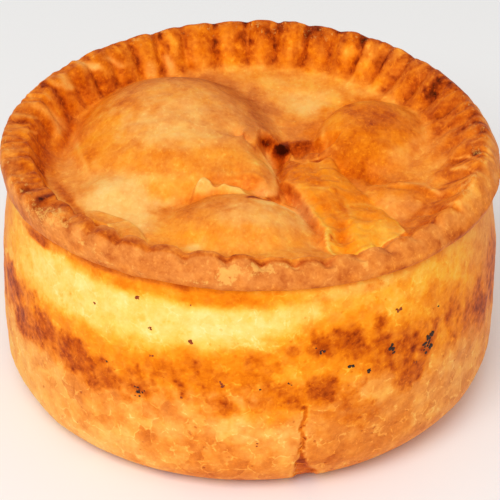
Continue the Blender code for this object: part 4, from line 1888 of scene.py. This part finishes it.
# Touches that run over both rim and lid, on the slanted plan.
TOUCHES = (
    *patches((-20.5, 33, 1.2, 3.6, 52, 50)),
    Stroke((
        (-17.4, 38.5, 0.7, 0.8), (-16.4, 35, 0.9, 0.9), (-16.2, 32, 0.6, 0.8),
    ), 0.42, 0.8, 0.5),
    *patches((-33, -13, 3, 4, 55, 50)),
    # ridges and grooves at the left, with painted shade in the grooves, painted highlights on the
    # ridges and pale streaks across the crimps
    Stroke((
        (-42, 14.5, 0.4, 1.2), (-40, 9.5, 0.9, 1.5), (-39.4, 3, 1, 1.6), (-38.8, -4, 0.9, 1.5),
        (-37.2, -9.5, 0.6, 1.2),
    ), 0.77, 0.05),
    Stroke((
        (-35.9, 18.5, 0.5, 1.2), (-35.5, 12, 0.9, 1.2), (-36, 6, 0.9, 1.3), (-36.8, 0.5, 0.7, 1.2),
        (-36.6, -3.5, 0.3, 1.1),
    ), 0.8, 0.05, 0.2),
    Stroke((
        (-44, 19.6, 0.3, 0.8), (-42.6, 18, 0.7, 0.9), (-40, 15.6, 0.9, 1.1), (-37.9, 12.2, 1, 1.3),
        (-37.1, 8.8, 0.9, 1.1), (-37.3, 6.6, 0.4, 0.9),
    ), 0.53, 0.55),
    Stroke(((-40.2, 28.1, 0.7, 0.8), (-38.5, 25.6, 0.8, 0.8)), 0.52, 0.6, 0.5),
    Stroke(((-40.6, 22.6, 0.7, 0.6), (-39.2, 20, 0.8, 0.6)), 0.55, 0.6, 0.5),
    Stroke(((-37.6, 29.6, 0.7, 0.9), (-35.8, 25, 0.9, 1)), 0.46, 0.7, 0.5),
    Stroke(((-34.6, 35.3, 0.8, 1.1), (-31.6, 33.2, 0.9, 1.3)), 0.36, 0.9, 0.5),
    Stroke(((-28.8, 37, 0.7, 0.9), (-26.2, 34, 0.7, 0.8)), 0.46, 0.8, 0.5),
    Stroke(((-44.3, 23.2, 0.7, 0.5), (-42.8, 19.9, 0.7, 0.5)), 0.5, 0.6, 0.5),
    Stroke(((-45.2, 13.8, 0.7, 0.6), (-41.8, 12.2, 0.7, 0.6)), 0.5, 0.6, 0.5),
    Stroke(((-45, 9, 0.7, 0.5), (-41.4, 6.6, 0.7, 0.5)), 0.52, 0.6, 0.5),
    *patches((-34.2, -5, 2.2, 4.5, 55, 60, 60, 30, 10)),
    Stroke((
        (-34.4, 7, 0.4, 0.7), (-33.5, 2.3, 0.8, 0.6), (-32.7, -1.2, 0.9, 0.5),
        (-31.3, -4.9, 0.9, 0.5), (-30.5, -9.1, 0.6, 0.5),
    ), 0.36, 0.6),
    Stroke((
        (-32.7, 5, 0.3, 0.4), (-31.6, 0, 0.6, 0.45), (-30.4, -6, 0.6, 0.45), (-29.9, -9, 0.2, 0.4),
    ), 0.68, 0.2, 0.2),
    # painted shade along the rim's inner side at the front left
    Stroke((
        (-36.5, -12, 0.7, 1.1), (-33.3, -19, 0.8, 1), (-31, -23.5, 0.8, 1), (-28, -28, 0.8, 1.1),
        (-25, -31.2, 0.8, 1), (-20, -33.8, 0.7, 0.9), (-17, -35.5, 0.6, 0.8),
    ), 0.81, 0.15),
    # ridges and grooves at the right, with painted shade in the grooves and painted highlights on
    # the ridges
    Stroke(((43, 17, 0.4, 0.9), (37, 8, 0.7, 1), (31, 2, 0.3, 1)), 0.77, 0.2),
    Stroke(((44, 10, 0.5, 0.9), (38, 2, 0.8, 1), (33, -3, 0.3, 1)), 0.77, 0.2),
    Stroke(((43.5, 4, 0.5, 0.9), (38, -4, 0.7, 1), (35, -8, 0.4, 0.9)), 0.75, 0.2),
    Stroke(((39, 23, 0.4, 0.9), (34, 14, 0.6, 1), (29, 8, 0.2, 1)), 0.75, 0.2),
    Stroke(((41, 12.5, 0.3, 0.8), (36, 5, 0.7, 0.9), (31.5, -1, 0.5, 0.9)), 0.53, 0.5),
    Stroke(((42, 6, 0.3, 0.8), (37.5, -1, 0.6, 0.9), (34, -6, 0.5, 0.9)), 0.54, 0.5),
    Stroke((
        (22.5, -12.3, 0.3, 0.5), (26, -12.1, 0.7, 0.5), (30, -11.2, 0.8, 0.5),
        (32.5, -12, 0.8, 0.5), (34.8, -15.2, 0.8, 0.6),
    ), 0.43, 0.7, 0.2),
    Stroke(((23, -13.8, 0.5, 0.8), (27, -13.4, 0.6, 0.8), (31, -12.9, 0.5, 0.7)), 0.75, 0.2, 0.2),
    # painted shade along the rim's inner side at the front right, and pale blisters
    Stroke((
        (38.2, -15, 0.2, 0.7), (36.2, -18, 0.6, 0.8), (33.6, -21.8, 0.8, 0.8),
        (30.6, -26.4, 0.8, 0.8), (27.2, -31.4, 0.6, 0.8),
    ), 0.75, 0.1, 0.4),
    Stroke((
        (37.5, -6.2, 0.7, 0.4), (39.5, -5.4, 0.9, 0.5), (41.6, -7.4, 0.7, 0.4),
    ), 0.46, 0.6, 0.5),
    Stroke(((38.5, -2.2, 0.6, 0.4), (40.5, -1.4, 0.8, 0.4), (42.6, -3, 0.6, 0.4)), 0.5, 0.6, 0.5),
    # a painted shadow under the blister beside it
    Stroke(((36.4, -20.2, 0.7, 0.5), (37.6, -21.4, 0.7, 0.5)), 0.82, 0.1, 0.4),
    Stroke((
        (35.8, -19.2, 0.6, 0.35), (37.6, -18.1, 0.9, 0.35), (38.1, -20.4, 0.7, 0.35),
    ), 0.38, 0.7, 0.5),
    Stroke((
        (38.7, -26.4, 0.7, 0.3), (39.1, -28, 0.9, 0.35), (38.8, -29.4, 0.6, 0.3),
    ), 0.3, 0.8, 0.4),
    Stroke(((41.5, 3.5, 0.6, 0.4), (43, 4.6, 0.7, 0.4), (44.5, 4.4, 0.5, 0.4)), 0.52, 0.6, 0.5),
)
# Painted shade in the creases of the crumpled layers and painted highlights on their ridges, on
# the slanted plan.
CREASES = (
    *patches((11.8, -10.6, 2, 2.4, 71, 0, 60, 45, 20), (14.6, -8.6, 1.4, 3, 56, 5, 60, 45, 10)),
    Stroke((
        (9.4, -13.4, 0.6, 0.4), (11.6, -13.2, 0.8, 0.4), (13.6, -13.6, 0.8, 0.4),
        (15, -14.4, 0.5, 0.3),
    ), 0.42, 0.2, 0.6),
    Stroke((
        (15.3, -13.6, 0.8, 0.3), (15.8, -14.8, 1, 0.3), (15.6, -15.8, 0.7, 0.3),
    ), 0.84, 0, 0.4),
    Stroke((
        (9.9, -4.2, 0.5, 0.3), (12.5, -2.3, 0.8, 0.3), (14.3, -0.6, 0.6, 0.3),
    ), 0.44, 0.4, 0.6),
    Stroke((
        (11.3, -3.4, 0.6, 0.25), (12.6, -2.9, 0.9, 0.3), (13.3, -2.5, 0.5, 0.25),
    ), 0.86, 0, 0.6),
    Stroke((
        (16.6, -18.6, 0.5, 0.8), (16.9, -21, 0.9, 0.8), (17.4, -23.4, 0.5, 0.7),
    ), 0.77, 0, 0.4),
    Stroke((
        (17.2, -17.4, 0.7, 0.3), (17.6, -19.8, 0.9, 0.3), (18.3, -23.7, 0.6, 0.3),
    ), 0.38, 0.2, 0.4),
    Stroke((
        (17.8, -19.2, 0.6, 0.4), (20.8, -19, 0.8, 0.4), (23.2, -20.4, 0.7, 0.4),
        (25, -23, 0.5, 0.4),
    ), 0.4, 0.2, 0.4),
    Stroke((
        (14.1, -29.6, 0.7, 0.25), (14.4, -30.8, 1, 0.3), (14.2, -32.2, 0.8, 0.25),
    ), 0.88, 0, 0.4),
    Stroke(((15.4, -24.5, 0.5, 0.9), (16.4, -29, 0.8, 0.9), (17.2, -34, 0.5, 0.8)), 0.7, 0, 0.4),
    Stroke(((12.6, -17, 0.4, 0.8), (13.6, -20.5, 0.7, 0.8), (14.4, -23, 0.4, 0.7)), 0.7, 0, 0.5),
)


@dataclass
class TopPaint:
    """The colours of the rim and the lid, which run into each other.

    The rim is painted by (degrees, place across it), the lid on the slanted plan.
    """

    form: DoughForm
    rim_bake: float = 0.68
    rim_matt: float = 0.4
    rim_flour: float = 0.05
    lid_bake: float = 0.59
    lid_matt: float = 0.35
    crumb: float = 0.1
    rim_marks: tuple[Patch | Stroke, ...] = RIM_MARKS
    lid_marks: tuple[Patch | Stroke, ...] = LID_MARKS
    touches: tuple[Patch | Stroke, ...] = TOUCHES
    creases: tuple[Patch | Stroke, ...] = CREASES
    crusts: tuple[Patch, ...] = RIM_CRUMBS

    def rim(self, points: Array, angle: Array, across: Array, fray: Array) -> tuple:
        """Works the rim's colours.

        Args:
            points: Points.
            angle: Even angles.
            across: Places across the rim, 0 at its foot, 1 on the crest and 2 at the lip.
            fray: Noise that makes edges uneven.

        Returns:
            The bake, matt and flour values.
        """
        form, grain = self.form, self.form.grain
        real = form.warped(angle)
        degrees = (np.degrees(real) + 90) % 360 - 90
        bake = self.rim_bake + 0.06 * grain.layered(points + 70, 6.0, 3)
        matt = np.full_like(bake, self.rim_matt)
        flour = np.full_like(bake, self.rim_flour)
        for turn in (0, 360, -360):
            bake, matt = paint(self.rim_marks, degrees + turn, across, fray, bake, matt)
            flour = strongest(self.crusts, flour, degrees + turn, across, fray)
        groove = form.groove(angle)
        back = form.towards(real, 80, 2)
        front = form.towards(real, -88, 3)
        slope = ease(0.0, 0.25, across) * (1 - ease(0.95, 1.15, across))
        # Painted shade in the grooves between the crimps and a painted highlight on their backs,
        # strongest at the back.
        bake = bake + (0.15 * back + 0.02) * slope * (groove - 0.3)
        # Painted shade in the grooves between the crimps on the front crest.
        crest = ease(0.75, 1.0, across) * (1 - ease(1.1, 1.3, across))
        bake = bake + 0.06 * front * crest * groove
        foot = np.exp(-(((across - 0.10) / 0.06) ** 2))
        bake = bake - 0.13 * back * foot * (1 - 0.5 * groove)
        # Painted highlight on the ridges of the rim's wrinkles and painted shade in their hollows.
        start = np.stack([points[:, 0], points[:, 1], 0 * across + form.crest_height], 1)
        top = ease(0.45, 0.8, across) * (1 - ease(1.5, 1.9, across))
        sides = form.wrinkle_depth(real) / form.wrinkle_height
        bake = bake - 0.11 * sides * top * form.wrinkles(start, angle)
        arc = np.degrees(angle) * RIM_ARC
        streaks = np.stack([arc + 0.8 * fray, 2.5 * across, 0 * angle], 1)
        bake = bake + 0.08 * slope * grain.layered(streaks @ grain.turn.T, 1.6, 2)
        flecks = ease(0.25, 0.75, grain.layered(streaks @ grain.turn.T + 30, 1.3, 3))
        bake = bake - 0.15 * back * ease(0.25, 0.6, across) * (1 - ease(1.2, 1.6, across)) * flecks
        return bake + 0.08 * grain.layered(points + 44, 1.6, 3), matt, flour

    def lid(self, points: Array, slanted: Array, fray: Array) -> tuple:
        """Works the lid's colours.

        Args:
            points: Points.
            slanted: Their places up the slanted plan.
            fray: Noise that makes edges uneven.

        Returns:
            The bake, matt and flour values.
        """
        grain = self.form.grain
        bake = self.lid_bake + 0.04 * grain.layered(points + 70, 6.0, 3)
        matt = np.full_like(bake, self.lid_matt)
        bake, matt = paint(self.lid_marks, points[:, 0], slanted, fray, bake, matt)
        mottle = 0.06 * grain.layered(points * np.array([1.0, 0.6, 1.0]) + 25, 2.4, 3)
        return bake + mottle, matt, 0.14 + 0.16 * matt + 0.08 * fray

    def tones(self, points: Array, angle: Array, across: Array, lid_share: Array) -> dict:
        """Works the colours of the rim and the lid where they run into each other.

        Args:
            points: Points.
            angle: Even angles.
            across: Places across the rim.
            lid_share: How much of each point the lid makes up.

        Returns:
            Values by tone.
        """
        grain = self.form.grain
        fray = grain.layered(points + 15, 3.4, 4)
        drawn = points * np.array([1.0, 0.6, 1.0])
        rough = 1.4 * grain.layered(drawn + 15, 3.2, 4) + 0.6 * grain.layered(drawn + 61, 1.1, 2)
        slanted = points[:, 1] + SLANT * (points[:, 2] - SLANT_LEVEL)
        rim = self.rim(points, angle, across, fray)
        lid = self.lid(points, slanted, rough)
        bake, matt, flour = (a + (b - a) * lid_share for a, b in zip(rim, lid))
        inner = 1 - ease(1.2, 1.6, across)
        touched = paint(self.touches, points[:, 0], slanted, fray, bake, matt)
        bake = bake + (touched[0] - bake) * inner
        matt = matt + (touched[1] - matt) * inner
        fine = grain.layered(points * np.array([1.0, 1.0, 0.0]) + 20, 1.9, 2)
        for layer in self.form.layers:
            layer.tint(points[:, 0], points[:, 1], fine, bake, matt)
        bake, matt = paint(self.creases, points[:, 0], slanted, fray, bake, matt)
        return {
            Tone.BAKE: bake,
            Tone.MATT: matt,
            Tone.FLOUR: flour,
            Tone.CRUMB: np.full_like(bake, self.crumb),
        }


@dataclass
class Rim:
    """The rolled and crimped rim, from the seam at its foot to the lip over the wall."""

    form: DoughForm
    colours: TopPaint
    seam_radius: float = 36.2
    steps: int = 640
    slope_rings: int = 54
    shoulder_rings: int = 44
    lip_outline: tuple = (
        (46.98, 45.6, 2.1), (46.90, 45.2, 2.2), (46.75, 44.85, 2.3), (46.45, 44.6, 2.4),
    )
    hidden_outline: tuple = (
        (45.6, 44.5, 2.5), (44.4, 44.2, 2.5), (44.0, 41.0, 2.5), (43.0, 38.5, 2.5),
        (36.2, 38.5, 2.5),
    )

    def profile(self) -> tuple[list[tuple[float, float, float]], int]:
        """Gives the turned outline, from the seam over the crest to the hidden inside.

        Returns:
            The points as (radius, height, place across the rim), and the first hidden one.
        """
        form = self.form
        points = []
        for i in range(self.slope_rings):
            share = i / self.slope_rings
            radius = self.seam_radius + (form.crest_radius - self.seam_radius) * share
            points.append((radius, form.crest_height, form.rim_share(radius)))
        for i in range(self.shoulder_rings + 1):
            turn = math.pi / 2 * i / self.shoulder_rings
            radius = form.crest_radius + (form.rim_radius - form.crest_radius) * math.sin(turn)
            height = form.lip_height + (form.crest_height - form.lip_height) * math.cos(turn)
            points.append((radius, height, 1 + i / self.shoulder_rings))
        points += self.lip_outline
        return [*points, *self.hidden_outline], len(points)

    def shape(self, ring: Array, angle: Array) -> tuple[Array, dict, set]:
        """Works the rim's points and their tones.

        Args:
            ring: Ring numbers.
            angle: Even angles.

        Returns:
            Points in metres, values by tone, and the sharp rings.
        """
        form = self.form
        profile, hidden = self.profile()
        outline = np.array(profile)
        radius, height, across = outline[ring].T
        points = form.shoulder_point(radius, height, angle)
        lid_share = np.zeros(len(points))
        inner = ring < self.slope_rings
        points[inner], lid_share[inner] = form.top_point(radius[inner], angle[inner])
        buried = ring >= hidden
        real = form.warped(angle[buried])
        points[buried] = form.case_point(radius[buried], height[buried], real)
        tones = self.colours.tones(points, angle, across, lid_share)
        return form.place(points), tones, {0, hidden - 1}

    def build(self, finish: bpy.types.Material) -> bpy.types.Object:
        """Builds the rim and dresses it in its finish."""
        piece = turned_mesh("rim", len(self.profile()[0]), self.steps, True, self.shape)
        return dress(piece, finish)


@dataclass
class Lid:
    """The sunken lid with its domes, its vent and its tear."""

    form: DoughForm
    colours: TopPaint
    seam_radius: float = 36.2
    steps: int = 640
    rings: int = 150
    seam_rings: int = 8
    hidden_height: float = 37.2

    def profile(self) -> list[tuple[float, float]]:
        """Gives the turned outline, from the middle of the lid to the middle of its hidden side.

        Returns:
            The (radius, height) points; the visible ones have no height of their own.
        """
        points = [(self.seam_radius * i / (self.rings - 1), 0.0) for i in range(self.rings)]
        return [*points, (self.seam_radius, self.hidden_height), (0.0, self.hidden_height)]

    def shape(self, ring: Array, angle: Array) -> tuple[Array, dict, set]:
        """Works the lid's points and their tones.

        Args:
            ring: Ring numbers.
            angle: Even angles.

        Returns:
            Points in metres, values by tone, and the sharp rings.
        """
        form = self.form
        outline = np.array(self.profile())
        rings, steps = np.divmod(np.arange(len(outline) * self.steps), self.steps)
        turns = steps * 2 * math.pi / self.steps - math.pi
        radius, height = outline[rings].T
        points, lid_share = form.top_point(radius, turns)
        across = form.rim_share(radius)
        visible = rings < self.rings
        self.even_out(points[:, 2], visible)
        tones = self.colours.tones(points, turns, across, lid_share)
        for values in tones.values():
            self.even_out(values, visible)
        points[~visible, 2] = height[~visible]
        step = np.rint((angle + math.pi) * self.steps / (2 * math.pi)).astype(int) % self.steps
        place = ring * self.steps + step
        tones = {tone: values[place] for tone, values in tones.items()}
        return form.place(points[place]), tones, {self.rings - 1, self.rings}

    def even_out(self, values: Array, visible: Array) -> None:
        """Evens out values on the visible rings, in place, but not at the middle or the seam.

        Args:
            values: One value a point, ring by ring.
            visible: Which points are on visible rings.
        """
        sheet = values[visible].reshape(self.rings, self.steps)
        keep = ease(self.rings - self.seam_rings, self.rings - 1, np.arange(self.rings))[:, None]
        keep[0] = 1
        values[visible] = (sheet * keep + softened(softened(sheet)) * (1 - keep)).ravel()

    def build(self, finish: bpy.types.Material) -> bpy.types.Object:
        """Builds the lid and dresses it in its finish."""
        piece = turned_mesh("lid", len(self.profile()), self.steps, False, self.shape)
        return dress(piece, finish)


@dataclass
class Specks:
    """Small burnt or toasted specks that lie in clusters on the wall."""

    form: DoughForm
    name: str
    clusters: tuple
    seed: int = 5

    def build(self, finish: bpy.types.Material) -> bpy.types.Object:
        """Builds and dresses the specks as one mesh.

        Args:
            finish: Their material.

        Returns:
            The piece.
        """
        source = np.random.default_rng(self.seed)
        axes = {"use_axis_x": True, "use_axis_y": True, "use_axis_z": True}
        dough = bmesh.new()
        form = self.form
        for degrees, height, wide, tall, count, large in self.clusters:
            for _ in range(count):
                turn = math.radians(degrees) + source.normal() * wide * 0.5 / form.wall_radius
                level = height + source.normal() * tall * 0.5
                size = (0.6 + 0.8 * source.random()) * large
                radius = form.wall_reach(form.wall_share(level))
                even = np.array([turn - (form.warped(np.array([turn]))[0] - turn)])
                spot = form.place(form.wall_point(np.array([radius]), np.array([level]), even))[0]
                made = bmesh.ops.create_icosphere(dough, subdivisions=2, radius=1.0)["verts"]
                stretch = (0.3, 0.7 + 0.6 * source.random(), 0.7 + 0.6 * source.random())
                for vert in made:
                    vert.co *= 1 + 0.35 * source.normal()
                bmesh.ops.smooth_vert(dough, verts=made, factor=0.5, **axes)
                place = (
                    Matrix.Translation(Vector(spot))
                    @ Matrix.Rotation(turn, 4, "Z")
                    @ Matrix.Diagonal((*(size * MM * s for s in stretch), 1))
                )
                bmesh.ops.transform(dough, matrix=place, verts=made)
        bmesh.ops.recalc_face_normals(dough, faces=dough.faces[:])
        mesh = bpy.data.meshes.new(self.name)
        dough.to_mesh(mesh)
        dough.free()
        mesh.shade_smooth()
        piece = bpy.data.objects.new(self.name, mesh)
        bpy.context.scene.collection.objects.link(piece)
        return dress(piece, finish)


@dataclass(frozen=True)
class Lamp:
    """One soft square light that faces the pie, in metres and watts."""

    name: str
    place: tuple[float, float, float]
    size: float
    power: float


@dataclass
class Studio:
    """A pale floor, soft light, and the camera, in metres and degrees, its lens in millimetres."""

    elevation: float = 31.86
    roll: float = 0.34
    distance: float = 0.5
    aim_height: float = 0.0244
    lens: float = 184.99
    floor_size: float = 6.0
    lit_height: float = 0.03
    lamps: tuple[Lamp, ...] = (
        Lamp("key_light", (-0.24, -0.72, 0.86), 0.7, 7.8),
        Lamp("front_light", (0.35, -1.0, 0.45), 0.8, 0.3),
    )
    glow_colour: tuple = (1.0, 0.99, 0.97, 1.0)
    glow_strength: float = 0.56

    def floor(self) -> bpy.types.Object:
        """Makes the floor.

        Returns:
            The floor.
        """
        surface = bmesh.new()
        bmesh.ops.create_grid(surface, x_segments=8, y_segments=8, size=self.floor_size / 2)
        mesh = bpy.data.meshes.new("floor")
        surface.to_mesh(mesh)
        surface.free()
        piece = bpy.data.objects.new("floor", mesh)
        bpy.context.scene.collection.objects.link(piece)
        mesh.materials.append(FloorFinish().material())
        return piece

    def camera(self) -> bpy.types.Object:
        """Makes the camera and the scene's active one.

        Returns:
            The camera.
        """
        data = bpy.data.cameras.new("camera")
        data.lens = self.lens
        data.sensor_width = 36.0
        data.clip_start = 0.01
        camera = bpy.data.objects.new("camera", data)
        tilt = math.radians(self.elevation)
        aim = Vector((0, 0, self.aim_height))
        back = Vector((0, -math.cos(tilt), math.sin(tilt)))
        up = Vector((0, math.sin(tilt), math.cos(tilt)))
        turned = Matrix((Vector((1, 0, 0)), up, back)).transposed().to_4x4()
        roll = Matrix.Rotation(math.radians(self.roll), 4, "Z")
        camera.matrix_world = Matrix.Translation(aim + back * self.distance) @ turned @ roll
        bpy.context.scene.collection.objects.link(camera)
        bpy.context.scene.camera = camera
        return camera

    def light(self, chosen: Lamp) -> bpy.types.Object:
        """Makes one light.

        Args:
            chosen: Its name, place, size and power.

        Returns:
            The light.
        """
        data = bpy.data.lights.new(chosen.name, "AREA")
        data.shape = "SQUARE"
        data.size = chosen.size
        data.energy = chosen.power
        lamp = bpy.data.objects.new(chosen.name, data)
        lamp.location = chosen.place
        away = lamp.location - Vector((0, 0, self.lit_height))
        lamp.rotation_euler = away.to_track_quat("Z", "Y").to_euler()
        bpy.context.scene.collection.objects.link(lamp)
        return lamp

    def build(self) -> None:
        """Makes the floor, the camera, the lights and the pale surroundings."""
        self.floor()
        self.camera()
        for lamp in self.lamps:
            self.light(lamp)
        world = bpy.data.worlds.new("surroundings")
        world.use_nodes = True
        glow = world.node_tree.nodes["Background"]
        glow.inputs["Color"].default_value = self.glow_colour
        glow.inputs["Strength"].default_value = self.glow_strength
        bpy.context.scene.world = world
        bpy.context.scene.view_settings.view_transform = "Standard"


def main() -> None:
    """Builds the pie and its studio."""
    logging.basicConfig(level=logging.INFO, format="%(message)s")
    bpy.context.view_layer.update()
    form = DoughForm()
    crust = CrustFinish("lid_crust", mottle=0.16, grain=0.11, flecks=0.09, stretch=1.5).material()
    wall = CrustFinish("wall_crust", flakes=0.16, pits=0.16, mottle=0.15, coarse_bump=0.45)
    Case(form).build(wall.material())
    colours = TopPaint(form)
    Rim(form, colours).build(crust)
    Lid(form, colours).build(crust)
    Specks(form, "burnt_specks", BURNT_CLUSTERS).build(CharFinish("burnt_specks").material())
    toasted = CharFinish("toasted_specks", (120, 44, 8), (190, 84, 20))
    Specks(form, "toasted_specks", TOASTED_CLUSTERS, 8).build(toasted.material())
    Studio().build()


if __name__ == "__main__":
    main()
